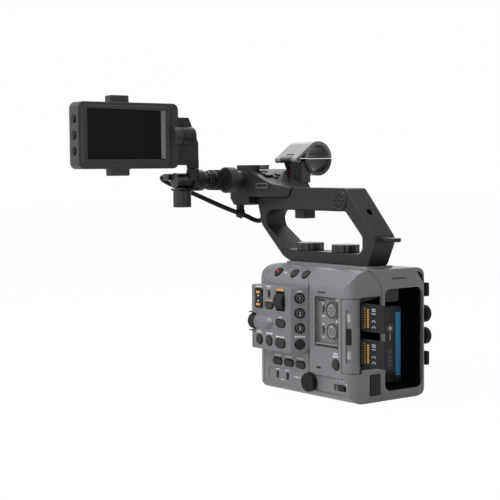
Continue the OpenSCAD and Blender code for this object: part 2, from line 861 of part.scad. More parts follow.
function card_z(i) = at_z(card_z_shares[i]);
module slot_unit() {
    color("black") difference() {
        translate([mouth_x0 + fit, slot_face, mouth_z0 + fit])
            cube([mouth_x1 - mouth_x0 - 2 * fit, unit_d, mouth_h - 2 * fit]);
        for (i = [0, 1]) translate([slot_x - card_t / 2 - slot_gap, slot_face - over, card_z(i) - card_w / 2 - slot_gap])
            cube([card_t + 2 * slot_gap, card_held + card_travel + fit + over, card_w + 2 * slot_gap]);
    }
}
module card(i) {
    color("black") translate([slot_x - card_t / 2, slot_face + card_held - card_l, card_z(i)])
        rotate([90, 0, 90]) linear_extrude(card_t) difference() {
            translate([0, -card_w / 2]) square([card_l, card_w]);
            translate([card_l, -card_w / 2]) rotate(45) square(card_notch, center = true);
        }
}
module card_a() { card(0); }
module card_b() { card(1); }

module door_leaf() {
    intersection() {
        difference() {
            circle(rear_corner_r, $fn = fine);
            circle(rear_corner_r - door_t, $fn = fine);
        }
        translate([-rear_corner_r - over, -rear_corner_r - over])
            square([rear_corner_r + over + pin_at[0] - corner_x, rear_corner_r + over - seam]);
    }
}
module on_door() {
    translate([corner_x, corner_y, door_z + door_h / 2]) rotate([0, 0, 0.44 * door_sweep])
        rotate([0, -90, 0]) translate([0, 0, rear_corner_r]) children();
}
module media_door() {
    color("gray") difference() {
        union() {
            translate([corner_x, corner_y, door_z]) linear_extrude(door_h) door_leaf();
            translate([pin_at[0], pin_at[1], door_z]) cylinder(h = door_h, r = knuckle_r);
        }
        translate([pin_at[0], pin_at[1], door_z - over]) cylinder(h = door_h + 2 * over, r = pin_r + shaft_fit);
        on_door() translate([0, 0, -slider_t]) linear_extrude(slider_t + over)
            rounded(slider_groove_h, slider_w + 2 * seam, cap_r);
    }
}
module door_slider() {
    color("black") on_door() translate([0, 0, seam / 3 - slider_t]) linear_extrude(slider_t)
        rounded(slider_l, slider_w, cap_r);
}
module release_lever() {
    color("black") facing_rear([lever_x, rear_y + lever_t - seam, lever_z + lever_h / 2])
        linear_extrude(lever_t) rounded(lever_w, lever_h, cap_r);
}

// Control block
block_key_sizes = [[push_h, push_w], [auto_h, auto_w], [2 * white_r, 2 * white_r],
    [2 * white_r, 2 * white_r], [menu_h, menu_w]];
function wheel_at() = [block_x + wheel_x, block_y(wheel_at_shares[0]), block_up(wheel_at_shares[1])];
function dial_at() = [block_x + dial_x, block_front - dial_w - fit, block_up(dial_z_share)];
function rocker_at() = [block_x, block_y(rocker_at_shares[0]), block_up(rocker_at_shares[1])];
function preset_at() = [block_x, block_y(preset_at_shares[0]), block_up(preset_at_shares[1])];
module block_form() {
    intersection() {
        plan_slab(block_z, block_h) difference() {
            polygon([[left_x, block_back - facet_l], [block_x, block_back], [block_x, block_front],
                [left_x, block_front]]);
            translate([block_x, block_front]) mirror([0, 1]) corner_cut(block_r);
        }
        translate([0, (block_front + block_back - facet_l) / 2, block_z + block_h / 2])
            side_slab(block_x - over, block_t + 2 * over) rounded(block_l + facet_l, block_h, block_r);
    }
}
module control_block() {
    guard_r = dial_d / 2 + fit;
    color("dimgray") difference() {
        union() {
            block_form();
            translate(dial_at()) rotate([90, 0, 0]) cylinder(h = barrel_l, r = guard_r);
            translate(dial_at() - [0, barrel_l, 0]) rotate([90, 0, 0])
                cylinder(h = block_r, r1 = guard_r, r2 = guard_r - block_r / 2);
        }
        translate([block_x - block_t, dial_at()[1], dial_at()[2] - guard_r])
            cube([2 * block_t - guard_t / 2, dial_w + over + fit, 2 * guard_r]);
        translate(dial_at() - [0, dial_w, 0]) rotate([-90, 0, 0]) cylinder(h = dial_w + over, r = dial_axle_r + shaft_fit);
        translate(wheel_at() - [0, wheel_w / 2 + fit, 0]) rotate([-90, 0, 0])
            cylinder(h = wheel_w + 2 * fit, r = wheel_d / 2 + fit);
        translate(wheel_at() - [0, wheel_w, 0]) rotate([-90, 0, 0])
            cylinder(h = 2 * wheel_w, r = wheel_axle_r + shaft_fit);
        translate(wheel_at() - [block_t, wheel_w / 2 + fit, wheel_d / 2 + fit])
            cube([block_t, wheel_w + 2 * fit, wheel_d + 2 * fit]);
        facing_left(rocker_at()) translate([0, 0, -key_t - key_travel - key_floor])
            linear_extrude(pad_depth) rounded(rocker_h + 2 * fit, rocker_w + 2 * fit, cap_r);
        facing_left(preset_at()) rotate(90) switch_pocket(switch_w, switch_h, switch_run);
        for (i = [0 : last(block_key_shares)])
            facing_left([block_x, block_y(block_key_shares[i][0]), block_up(block_key_shares[i][1])])
                key_pocket(block_key_sizes[i][0], block_key_sizes[i][1]);
        for (share = facet_key_z_shares) on_facet(block_up(share)) round_pocket(facet_key_r);
    }
    color("dimgray") for (side = [-1, 1])
        translate([block_x - guard_t, dial_at()[1], dial_at()[2] + side * (guard_r + guard_t / 2) - guard_t / 2])
            cube([block_t, dial_w + guard_t, guard_t]);
}
module ribbed(r, ribs, rib) {
    difference() {
        circle(r, $fn = fine);
        for (i = [0 : ribs - 1]) rotate(i * 360 / ribs) translate([r + rib / 2, 0]) circle(rib, $fn = 16);
    }
}
module nd_wheel() {
    color("black") translate(wheel_at() - [0, wheel_w / 2, 0]) rotate([-90, 0, 0]) {
        linear_extrude(wheel_w) ribbed(wheel_d / 2, wheel_ribs, rib_r);
        translate([0, 0, -wheel_axle_r]) cylinder(h = wheel_w + 2 * wheel_axle_r, r = wheel_axle_r);
    }
}
module function_dial() {
    color("black") translate(dial_at() + [0, fit / 2, 0]) rotate([-90, 0, 0]) {
        linear_extrude(dial_w) ribbed(dial_d / 2, 2 * wheel_ribs, rib_r / 2);
        translate([0, 0, -pad_depth]) cylinder(h = pad_depth + over, r = dial_axle_r);
    }
}
module nd_rocker() {
    color("black") facing_left(rocker_at()) difference() {
        translate([0, 0, key_proud - key_t]) linear_extrude(key_t) rounded(rocker_h, rocker_w, cap_r);
        translate([0, -rocker_w, rocker_swing_r + key_proud / 4]) rotate([-90, 0, 0])
            cylinder(h = 2 * rocker_w, r = rocker_swing_r);
    }
}
module block_keys() {
    color("dimgray") for (i = [0 : last(block_key_shares)])
        facing_left([block_x, block_y(block_key_shares[i][0]), block_up(block_key_shares[i][1])])
            key_cap(block_key_sizes[i][0], block_key_sizes[i][1]);
}
module facet_key(i) { color("black") on_facet(block_up(facet_key_z_shares[i])) key_cap(2 * facet_key_r, 2 * facet_key_r); }
module assign_1() { facet_key(0); }
module assign_2() { facet_key(1); }
module assign_3() { facet_key(2); }
module display_button() { facet_key(3); }

// Left side
module side_keys() {
    color("dimgray") for (share = exposure_shares) facing_left([left_x, at_y(share[0]), at_z(share[1])])
        key_cap(exposure_h, exposure_w);
    color("dimgray") facing_left([left_x, at_y(status_share[0]), at_z(status_share[1])])
        key_cap(2 * status_r, 2 * status_r);
}
module slide_switches() {
    depths = [audio_depth, audio_depth, low_panel_depth, low_panel_depth];
    color("black") for (i = [0 : 3])
        facing_left([left_x + depths[i], at_y(switch_shares[i][0]), at_z(switch_shares[i][1])])
            rotate(90) switch_knob(switch_w, switch_h);
    color("black") facing_left(preset_at()) rotate(90) switch_knob(switch_w, switch_h);
}
module power_switch() {
    color("black") facing_left([left_x + channel_d, at_y(power_share[0]) - power_run / 2, at_z(power_share[1])])
        switch_knob(power_h, power_w - power_run);
}
module audio_dial(i) {
    color("gray") facing_left([left_x + audio_depth, at_y(audio_dial_shares[i][0]), at_z(audio_dial_shares[i][1])]) {
        translate([0, 0, seam / 3]) cylinder(h = audio_dial_t, r = audio_dial_r);
        translate([0, 0, seam / 3 - audio_dial_t + fit]) cylinder(h = audio_dial_t, r = audio_stem_r);
    }
}
module audio_dial_1() { audio_dial(0); }
module audio_dial_2() { audio_dial(1); }
module audio_cover() {
    hinge = [left_x + cover_pin_r + cover_t / 2, at_y(audio_at_share[0]) - audio_w / 2 + fit,
        at_z(audio_at_share[1]) - audio_h / 2 + 2 * cover_pin_r];
    color([0.8, 0.8, 0.85, 0.4]) difference() {
        union() {
            translate([left_x + seam, hinge[1], hinge[2]])
                cube([cover_t, audio_w - 2 * fit, audio_h - 2 * cover_pin_r - fit]);
            facing_front(hinge) cylinder(h = audio_w - 2 * fit, r = cover_pin_r + cover_t / 2);
        }
        facing_front(hinge - [0, over, 0]) cylinder(h = audio_w + over, r = cover_pin_r + shaft_fit);
    }
}
module rec_button() { color("black") on_edge(at_y(edge_key_shares[0])) key_cap(2 * edge_key_r, 2 * edge_key_r); }
module top_keys() {
    color("dimgray") for (i = [1, 2]) on_edge(at_y(edge_key_shares[i])) key_cap(2 * edge_key_r, 2 * edge_key_r);
}

module port_covers() {
    cap_y = at_y(cap_y_share);
    color("black") for (share = round_cap_z_shares) facing_right([half_w - corner_r / 2, cap_y, at_z(share)])
        intersection() {
            cylinder(h = cap_x + corner_r / 2, r = round_cap_r);
            translate([-round_cap_r, -round_cap_r, corner_r / 2]) cube([2 * round_cap_r, 2 * round_cap_r, cap_x]);
        }
    color("black") for (share = flap_cap_z_shares) facing_right([half_w, cap_y, at_z(share)])
        linear_extrude(flap_cap_x) rounded(flap_cap_h, flap_cap_d, cap_r);
    color("black") facing_left([left_x + channel_d, at_y(plug_share[0]), at_z(plug_share[1])])
        cylinder(h = plug_t + channel_d, r = plug_r);
}
module grip_rosette() {
    color("silver") facing_right([half_w, at_y(rosette_share[0]), at_z(rosette_share[1])]) difference() {
        union() {
            cylinder(h = rosette_t - tooth_h, r = rosette_r);
            intersection() {
                cylinder(h = rosette_t, r = rosette_r);
                for (i = [0 : rosette_teeth / 2 - 1]) rotate(i * 360 / rosette_teeth * 2)
                    translate([2 * m6_r, -tooth_w / 2, rosette_t - tooth_h - seam / 3])
                    cube([rosette_r, tooth_w, tooth_h + seam / 3]);
            }
        }
        translate([0, 0, -over]) cylinder(h = rosette_t + 2 * over, r = m6_r);
    }
}
module screw_head() {
    difference() {
        cylinder(h = screw_t, r = screw_r);
        translate([-screw_slot / 2, -screw_r, screw_t / 2]) cube([screw_slot, 2 * screw_r, screw_t]);
    }
}
module casing_screws() {
    color("black") for (place = floor_screws)
        translate(place) mirror([0, 0, 1]) translate([0, 0, -screw_t]) screw_head();
}

// Handle
function softened(points, reach) = [for (i = [0 : last(points)])
    let (here = points[i],
        back = here + reach * unit(points[(i + last(points)) % len(points)] - here),
        ahead = here + reach * unit(points[(i + 1) % len(points)] - here))
    for (t = [0 : 0.25 : 1]) (1 - t) * (1 - t) * back + 2 * t * (1 - t) * here + t * t * ahead];
function thumb_y(i) = frame_point([thumb_y_shares[i], 0])[0];
function deck_at(y) = head_point(head_shares[9])[1] + (y - head_point(head_shares[9])[0]) * tan(deck_turn);
rail_top = rail_z + rail_share * handle_h;
jack_at = [jack_x, jack_y, jack_z];
module on_jack() { translate(jack_at) rotate([-90 - plug_tilt, 0, 0]) children(); }
module handle_frame() {
    bump = frame_point(bump_shares);
    speaker = frame_point(speaker_share);
    thread = frame_point(rear_thread_share);
    color("black") difference() {
        union() {
            side_slab(-handle_w / 2, handle_w) difference() {
                polygon(softened([for (share = frame_shares) frame_point(share)], frame_round));
                polygon(softened([for (share = loop_shares) frame_point(share)], frame_round));
            }
            translate([-bump_w / 2, bump[0], bump[1] - bump_h]) cube([bump_w, bump_l, bump_h + over]);
            facing_left([-handle_w / 2, speaker[0], speaker[1]]) translate([0, 0, -over])
                cylinder(h = speaker_t + over, r = speaker_r);
            plan_slab(rail_z + hook_z_share * handle_h - hook_t / 2, hook_t)
                translate([0, over - handle_back - hook_l / 2]) rounded(hook_w, hook_l + 2 * over, hook_w / 3);
        }
        for (i = [0, 1]) translate([0, thumb_y(i), rail_z - over])
            cylinder(h = rail_top - rail_z + 2 * over, r = shank_r + shaft_fit);
        facing_left([-handle_w / 2, speaker[0], speaker[1]]) {
            cylinder(h = speaker_t + over, r = speaker_hole_r);
            for (i = [0 : speaker_holes - 1]) rotate(i * 360 / speaker_holes) translate([speaker_ring_r, 0, 0])
                cylinder(h = speaker_t + over, r = speaker_hole_r);
        }
        translate([0, thread[0], thread[1]]) rotate([back_turn, 0, 0]) translate([0, 0, -thread_depth])
            cylinder(h = thread_depth + 2 * over, r = quarter_r);
        on_jack() translate([0, 0, -plug_body_l / 4]) cylinder(h = plug_body_l, r = jack_r);
    }
}
module handle_screw(i) {
    color("black") translate([0, thumb_y(i), rail_top + seam / 3]) {
        difference() {
            linear_extrude(thumb_h) ribbed(thumb_d / 2, thumb_flutes, flute_r);
            translate([-screw_slot, -thumb_d / 3, thumb_h - screw_t]) cube([2 * screw_slot, thumb_d / 1.5, thumb_h]);
        }
        translate([0, 0, rail_z - rail_top - thread_depth])
            cylinder(h = rail_top - rail_z + thread_depth + over, r = shank_r);
    }
}
module handle_screw_front() { handle_screw(0); }
module handle_screw_rear() { handle_screw(1); }

function xlr_at(i) = [head_right, head_back + xlr_y_shares[i] * head_l, xlr_z];
module clip_ring(r, l) {
    direction = heading(cable_route, clip_at);
    translate(cable_route[clip_at]) rotate([0, acos(direction[2]), atan2(direction[1], direction[0])])
        translate([0, 0, -l / 2]) cylinder(h = l, r = r);
}
module handle_head() {
    end = head_back + head_l;
    clip = cable_route[clip_at];
    color("black") difference() {
        union() {
            intersection() {
                side_slab(head_left, head_w) polygon([for (share = head_shares) head_point(share)]);
                plan_slab(head_z - over, head_h + 2 * over) polygon([[-handle_w / 2, head_back],
                    [head_left, head_back + neck_l], [head_left, end + over], [head_right, end + over],
                    [head_right, head_back + neck_l], [handle_w / 2, head_back]]);
            }
            translate([head_left, horn_y, head_z + head_h / 2]) cube([horn_w, horn_l, head_h / 2 + horn_h]);
            facing_left([head_left + over, pivot_y, pivot_z]) cylinder(h = head_left + over - boss_x, r = boss_d / 2);
            clip_ring(clip_r, clip_l);
            translate([clip[0] - clip_l / 2, clip[1] - clip_l / 2, clip[2]])
                cube([clip_l, clip_l, head_z - clip[2] + over]);
        }
        clip_ring(cable_r + clip_fit, 2 * clip_l);
        facing_left([head_left, pivot_y, pivot_z]) cylinder(h = head_left - boss_x + over, r = stem_r + shaft_fit);
        for (share = deck_keys) on_deck(share) round_pocket(deck_key_r);
        on_deck(handle_rec_share) round_pocket(handle_rec_r);
        on_deck(zoom_share) translate([0, 0, -zoom_t]) linear_extrude(zoom_t + 3 * over)
            rounded(zoom_w + 2 * fit, zoom_l + 2 * fit, deck_r);
        facing_front([ring_x, ring_y - fit, ring_z])
            cylinder(h = ring_l + 2 * fit, r = ring_outer_d / 2 + fit, $fn = fine);
        for (i = [0, 1]) facing_left(xlr_at(i) + [over, 0, 0])
            cylinder(h = xlr_depth + over, r = xlr_bore_r + xlr_skin + shaft_fit);
    }
}
module handle_rec_button() { color("red") on_deck(handle_rec_share) key_cap(2 * handle_rec_r, 2 * handle_rec_r); }
module handle_keys() {
    color("dimgray") for (share = deck_keys) on_deck(share) key_cap(2 * deck_key_r, 2 * deck_key_r);
}
module zoom_rocker() {
    color("black") on_deck(zoom_share) difference() {
        translate([0, 0, key_proud - zoom_t]) linear_extrude(zoom_t + key_proud) rounded(zoom_w, zoom_l, deck_r);
        translate([-zoom_w, 0, zoom_swing_r + key_proud]) rotate([0, 90, 0]) cylinder(h = 2 * zoom_w, r = zoom_swing_r);
        for (side = [-1, 1]) translate([-zoom_w, side * zoom_l / 2, key_proud - zoom_t]) rotate([45, 0, 0])
            cube([2 * zoom_w, zoom_t, zoom_t], center = true);
    }
}
module accessory_shoe() {
    color("silver") translate([0, shoe_y, head_z + head_h]) difference() {
        translate([-shoe_w / 2, 0, 0]) cube([shoe_w, shoe_l, shoe_h]);
        translate([shoe_t - shoe_w / 2, -over, shoe_t]) cube([shoe_w - 2 * shoe_t, shoe_l, shoe_h - 2 * shoe_t]);
        translate([shoe_lip - shoe_w / 2, -over, shoe_t]) cube([shoe_w - 2 * shoe_lip, shoe_l + 2 * over, shoe_h]);
    }
}
module audio_sockets() {
    color("silver") for (i = [0, 1]) facing_right(xlr_at(i)) {
        difference() {
            union() {
                cylinder(h = xlr_t, r = xlr_r);
                translate([0, 0, fit - xlr_depth]) cylinder(h = xlr_depth, r = xlr_bore_r + xlr_skin);
            }
            translate([0, 0, wall - xlr_depth]) cylinder(h = xlr_depth + xlr_t, r = xlr_bore_r);
        }
        difference() {
            translate([0, 0, wall - xlr_depth - fit]) cylinder(h = xlr_depth, r = xlr_core_r);
            for (turn = [0 : 2]) rotate(turn * 90) translate([xlr_core_r / 1.7, 0, -xlr_depth / 2])
                cylinder(h = xlr_depth, r = xlr_pin_r);
        }
    }
}

// Microphone holder
module ring_half(side) {
    difference() {
        translate([ring_x, ring_z]) circle(ring_outer_d / 2, $fn = fine);
        translate([ring_x, ring_z]) circle(ring_d / 2, $fn = fine);
        translate([ring_x, ring_z + side * (ring_split - ring_outer_d) / 2])
            square([2 * ring_outer_d, ring_outer_d], center = true);
    }
}
module mic_bracket() {
    foot_y = ring_y + seam * 6;
    color("black") {
        cross_slab(ring_y, ring_l) ring_half(-1);
        difference() {
            side_slab(mic_foot_x, mic_foot_w) polygon([[foot_y, deck_at(foot_y) + seam / 3],
                [foot_y + mic_foot_l, deck_at(foot_y + mic_foot_l) + seam / 3],
                [foot_y + mic_foot_l, mic_hinge[1] - hinge_r / 2], [foot_y, mic_hinge[1] - hinge_r / 2]]);
            facing_front([ring_x, ring_y - over, ring_z]) cylinder(h = ring_l + 2 * over, r = ring_d / 2, $fn = fine);
        }
        translate([mic_hinge[0], ring_y + ring_l / 4 + leaf_gap, mic_hinge[1] - hinge_r])
            cube([mic_foot_x - mic_hinge[0] + over, ring_l / 2 - 2 * leaf_gap, hinge_r / 2]);
        facing_front([mic_hinge[0], ring_y + ring_l / 4 + leaf_gap, mic_hinge[1]])
            cylinder(h = ring_l / 2 - 2 * leaf_gap, r = hinge_r);
        facing_front([mic_hinge[0], ring_y, mic_hinge[1]]) cylinder(h = ring_l, r = hinge_pin_r);
    }
}
module mic_lid() {
    reach = sqrt(pow(norm([ring_x, ring_z] - mic_hinge), 2) - pow(ring_outer_d / 2 - hinge_r, 2));
    color("black") difference() {
        cross_slab(ring_y, ring_l) {
            ring_half(1);
            translate(mic_hinge) circle(hinge_r);
            difference() {
                translate(mic_hinge) rotate(lid_turn) square([reach, hinge_r - shaft_fit]);
                translate([ring_x, ring_z]) circle(ring_d / 2 + over, $fn = fine);
            }
        }
        facing_front([mic_hinge[0], ring_y - over, mic_hinge[1]]) cylinder(h = ring_l + 2 * over, r = hinge_pin_r + shaft_fit);
        facing_front([mic_hinge[0], ring_y + ring_l / 4, mic_hinge[1]]) cylinder(h = ring_l / 2, r = hinge_r + leaf_gap);
        translate([ring_x - hinge_r / 2, ring_y + ring_l / 3, ring_z]) cube([hinge_r, ring_l / 3, ring_outer_d]);
    }
}

// Monitor arm
link_left = boss_x - seam - link_t;
block_left = boss_x - seam - holder_l;
holder_left = block_left - collar_l;
rod_left = holder_left - rod_l;
clamp_right = holder_left - clamp_at;
clamp_left = clamp_right - clamp_l;
knob_x = clamp_left - tongue_l / 2;
stub_z = pivot_z + clamp_d / 2 + wall / 2;
plate_left = monitor_right + 2 * tilt_gap;
module arm_base() {
    color("black") difference() {
        union() {
            translate([0, (pivot_y + rod_y) / 2, pivot_z]) side_slab(link_left, link_t)
                rounded(rod_y - pivot_y + holder_w, boss_d, boss_d / 2 - seam);
            translate([block_left, rod_y - holder_w / 2, pivot_z - holder_w / 2]) cube([holder_l, holder_w, holder_w]);
            facing_right([holder_left, rod_y, pivot_z]) cylinder(h = collar_l + over, r = collar_r);
        }
        facing_right([holder_left - over, rod_y, pivot_z])
            cylinder(h = collar_l + holder_l - duct_t + over, r = rod_d / 2 + shaft_fit);
        facing_right([link_left - over, pivot_y, pivot_z]) cylinder(h = link_t + 2 * over, r = stem_r + shaft_fit);
        for (x = [0.25, 0.6] * collar_l) facing_right([holder_left + x, rod_y, pivot_z]) difference() {
            cylinder(h = collar_groove, r = collar_r + over);
            translate([0, 0, -over]) cylinder(h = collar_groove + 2 * over, r = collar_r - seam);
        }
    }
}
module arm_rod() {
    start = cable_route[0];
    color("black") {
        facing_right([rod_left, rod_y, pivot_z]) cylinder(h = rod_l + collar_l + holder_l - duct_t - fit, r = rod_d / 2);
        translate([start[0] - gland_w / 2, rod_y + rod_d / 3, start[2] - gland_h / 2])
            cube([gland_w, start[1] - seam - rod_y - rod_d / 3, gland_h]);
    }
}
module base_knob() {
    color("black") facing_left([link_left - seam, pivot_y, pivot_z]) {
        difference() {
            linear_extrude(base_knob_t) ribbed(base_knob_d / 2, knob_flutes, knob_flute_r);
            translate([0, 0, base_knob_t - knob_face]) cylinder(h = knob_face + over, r = base_knob_d / 2 - knob_rim);
        }
        translate([0, 0, -link_t - 2 * seam - 2 * duct_t]) cylinder(h = link_t + 3 * duct_t, r = stem_r);
    }
}
module rod_clamp() {
    color("black") difference() {
        union() {
            facing_right([clamp_left, rod_y, pivot_z]) cylinder(h = clamp_l, r = clamp_d / 2);
            translate([clamp_left - tongue_l, rod_y - tongue_w / 2, pivot_z - rod_d / 2 - shaft_fit - seam / 3 - tongue_t])
                cube([tongue_l + clamp_l / 2, tongue_w, tongue_t]);
            translate([neck_x, neck_y, pivot_z]) cylinder(h = stub_z - pivot_z, r = neck_r);
            translate([neck_x, neck_y, stub_z - over]) cylinder(h = neck_h + over, r = neck_pin_r);
        }
        facing_right([clamp_left - tongue_l, rod_y, pivot_z])
            cylinder(h = clamp_l + tongue_l + over, r = rod_d / 2 + shaft_fit);
        translate([knob_x, rod_y, pivot_z - clamp_d]) {
            cylinder(h = clamp_d, r = stem_r + shaft_fit);
            cylinder(h = clamp_d - rod_d / 2 - shaft_fit - seam / 3 - tongue_t, r = clamp_knob_d / 2 + fit);
        }
    }
}
module clamp_knob() {
    top = pivot_z - rod_d / 2 - shaft_fit - seam / 3 - tongue_t - seam / 3;
    color("black") translate([knob_x, rod_y, top - clamp_knob_h]) {
        linear_extrude(clamp_knob_h) ribbed(clamp_knob_d / 2, clamp_flutes, clamp_flute_r);
        cylinder(h = clamp_knob_h + tongue_t + seam / 3, r = stem_r);
    }
}
module monitor_bracket() {
    color("black") difference() {
        union() {
            cross_slab(plate_y, plate_t) translate([plate_left, plate_z]) difference() {
                square([plate_w, plate_h]);
                translate([plate_w, plate_h]) polygon([[over, over], [over, -plate_cut_h], [0, -plate_cut_h],
                    [-plate_cut_w, 0], [-plate_cut_w, over]]);
            }
            plan_slab(plate_z, neck_r) translate([plate_left, neck_y - neck_r]) square([neck_x - plate_left, 2 * neck_r]);
            translate([neck_x, neck_y, stub_z + seam / 3])
                cylinder(h = plate_z + neck_r - stub_z - seam / 3, r = neck_r);
            facing_right([plate_left, tilt_y, tilt_z]) cylinder(h = plate_w / 1.7, r = tilt_r);
            facing_left([plate_left + over, tilt_y, tilt_z]) cylinder(h = tilt_in + over, r = tilt_pin_r);
        }
        translate([neck_x, neck_y, stub_z - over]) cylinder(h = neck_h + over + fit, r = neck_pin_r + shaft_fit);
    }
}

// Monitor
function side_key_at(i) = [monitor_left, monitor_face + monitor_t / 2, monitor_z + side_key_z_shares[i] * monitor_h];
screen_x = monitor_left + screen_left;
screen_z = monitor_z + screen_drop;
bezel_y = monitor_face - step_t;
module monitor_case() {
    step_w = monitor_w - step_in - step_right;
    lug_x = monitor_left + lug_x_share * monitor_w - lug_w / 2;
    color("black") difference() {
        union() {
            cross_slab(monitor_face, monitor_t) translate([monitor_left + monitor_w / 2, monitor_z + monitor_h / 2])
                rounded(monitor_w, monitor_h, case_r);
            cross_slab(bezel_y, step_t + over) translate([monitor_left + step_in + step_w / 2, monitor_z + monitor_h / 2])
                rounded(step_w, monitor_h - 2 * step_in, case_r - step_in);
            translate([lug_x, monitor_face + lug_cut, monitor_z - lug_h]) cube([lug_w, lug_d, monitor_h + 2 * lug_h]);
            facing_left([plate_left - tilt_gap, tilt_y, tilt_z]) cylinder(h = tilt_r, r = tilt_r);
        }
        translate([screen_x - fit, bezel_y - over, screen_z - fit])
            cube([screen_w + 2 * fit, screen_sink + over, screen_h + 2 * fit]);
        plan_slab(screen_z - fit, screen_h + 2 * fit) translate([screen_x + screen_w, bezel_y])
            polygon([[-over, -over], [bevel_right, -over], [bevel_right, 0], [fit, screen_sink], [-over, screen_sink]]);
        facing_left([plate_left, tilt_y, tilt_z]) cylinder(h = tilt_in + fit, r = tilt_pin_r + shaft_fit);
        for (i = [0 : 2]) facing_left(side_key_at(i)) round_pocket(side_key_r);
        for (z = [monitor_z - lug_h, monitor_z + monitor_h])
            translate([lug_x + lug_cut, monitor_face + 2 * lug_cut, z - over])
            cube([lug_w - 2 * lug_cut, lug_d - 2 * lug_cut, lug_h + 2 * over]);
    }
}
module monitor_screen() {
    color([0.05, 0.05, 0.06]) translate([screen_x, bezel_y + screen_sink - screen_t, screen_z])
        cube([screen_w, screen_t, screen_h]);
}
module monitor_keys() {
    color("black") for (i = [0 : 2]) facing_left(side_key_at(i)) key_cap(2 * side_key_r, 2 * side_key_r);
}

// Cable
module lcd_cable() {
    n = cable_sides;
    count = len(cable_route);
    points = [for (i = [0 : count - 1])
        let (direction = heading(cable_route, i), a = across(direction), b = cross(a, direction))
        for (k = [0 : n - 1]) cable_route[i] + cable_r * (cos(k * 360 / n) * a + sin(k * 360 / n) * b)];
    walls = [for (i = [0 : count - 2], k = [0 : n - 1])
        let (p = i * n + k, q = i * n + (k + 1) % n)
        for (face = [[p, q, q + n], [p, q + n, p + n]]) face];
    color("black") polyhedron(points, concat([[for (k = [n - 1 : -1 : 0]) k]], walls,
        [[for (k = [0 : n - 1]) (count - 1) * n + k]]));
}
module lcd_plug() {
    color("black") on_jack() translate([0, 0, seam - plug_body_l / 4])
        cylinder(h = plug_body_l * 1.25 - seam, r = plug_body_r);
}

left_shell();
top_shell();
rear_frame();
front_plate();
bottom_plate();
bay_liner();
lens_mount();
lens_release();
sensor_unit();
main_board();
fan_rotor();
slot_unit();
card_a();
card_b();
media_door();
door_slider();
battery();
release_lever();
control_block();
nd_wheel();
function_dial();
nd_rocker();
block_keys();
assign_1();
assign_2();
assign_3();
display_button();
side_keys();
slide_switches();
power_switch();
audio_dial_1();
audio_dial_2();
audio_cover();
rec_button();
top_keys();
port_covers();
grip_rosette();
casing_screws();
handle_frame();
handle_screw_front();
handle_screw_rear();
handle_head();
handle_rec_button();
zoom_rocker();
handle_keys();
accessory_shoe();
audio_sockets();
mic_bracket();
mic_lid();
arm_base();
arm_rod();
base_knob();
rod_clamp();
clamp_knob();
monitor_bracket();
monitor_case();
monitor_screen();
monitor_keys();
lcd_cable();
lcd_plug();
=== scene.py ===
import json
import math

import bmesh
import bpy
from mathutils import Matrix, Vector


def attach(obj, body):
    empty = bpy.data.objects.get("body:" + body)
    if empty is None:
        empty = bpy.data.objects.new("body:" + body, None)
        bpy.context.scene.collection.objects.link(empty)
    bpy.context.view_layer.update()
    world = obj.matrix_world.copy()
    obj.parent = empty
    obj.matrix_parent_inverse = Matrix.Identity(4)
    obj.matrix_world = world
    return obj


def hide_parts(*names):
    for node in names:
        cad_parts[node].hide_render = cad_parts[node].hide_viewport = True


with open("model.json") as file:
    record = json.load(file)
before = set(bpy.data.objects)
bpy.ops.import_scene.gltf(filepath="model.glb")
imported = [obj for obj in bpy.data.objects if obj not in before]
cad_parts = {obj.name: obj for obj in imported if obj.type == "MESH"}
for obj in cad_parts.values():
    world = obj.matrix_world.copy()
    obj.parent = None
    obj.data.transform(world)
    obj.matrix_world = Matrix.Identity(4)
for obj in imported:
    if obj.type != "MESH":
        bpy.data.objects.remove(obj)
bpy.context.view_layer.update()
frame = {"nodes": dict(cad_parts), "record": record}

scene = bpy.context.scene
record = frame["record"]
bodyOf = {node: body for body, nodes in record["behaviour"]["bodies"].items() for node in nodes}
mm = 0.001

# The photograph's view: turn is left of straight behind, place and clip are in metres
viewpoint = {
    "turn": 37.0, "pitch": 3.488, "roll": 0.541, "lens": 93.355, "film": 36, "clip": (0.05, 20),
    "place": (-0.780178, -0.896835, 0.203170),
}


def aimCamera(view):
    turn, pitch, roll = (math.radians(view[k]) for k in ("turn", "pitch", "roll"))
    ahead = Vector((math.sin(turn), math.cos(turn), 0))
    aside = Vector((math.cos(turn), -math.sin(turn), 0))
    below = Vector((0, 0, -1))
    forward = ahead * math.cos(pitch) + below * math.sin(pitch)
    under = below * math.cos(pitch) - ahead * math.sin(pitch)
    right = aside * math.cos(roll) + under * math.sin(roll)
    down = under * math.cos(roll) - aside * math.sin(roll)
    data = bpy.data.cameras.new("photoCamera")
    data.lens, data.sensor_width = view["lens"], view["film"]
    data.clip_start, data.clip_end = view["clip"]
    camera = bpy.data.objects.new("photoCamera", data)
    scene.collection.objects.link(camera)
    turned = Matrix((right, -down, -forward)).transposed().to_4x4()
    camera.matrix_world = Matrix.Translation(view["place"]) @ turned
    scene.camera = camera


aimCamera(viewpoint)
print("camera placed")


# A shader socket that can stand in an expression: each operator adds its Math node
class Sock:
    def __init__(self, graph, out):
        self.graph, self.out = graph, out

    def maths(self, operation, first, second):
        return self.graph.node("ShaderNodeMath", {"operation": operation}, {0: first, 1: second})

    def __add__(self, other):
        return self.maths("ADD", self, other)

    def __radd__(self, other):
        return self.maths("ADD", other, self)

    def __sub__(self, other):
        return self.maths("SUBTRACT", self, other)

    def __rsub__(self, other):
        return self.maths("SUBTRACT", other, self)

    def __mul__(self, other):
        return self.maths("MULTIPLY", self, other)

    def __rmul__(self, other):
        return self.maths("MULTIPLY", other, self)

    def __gt__(self, other):
        return self.maths("GREATER_THAN", self, other)


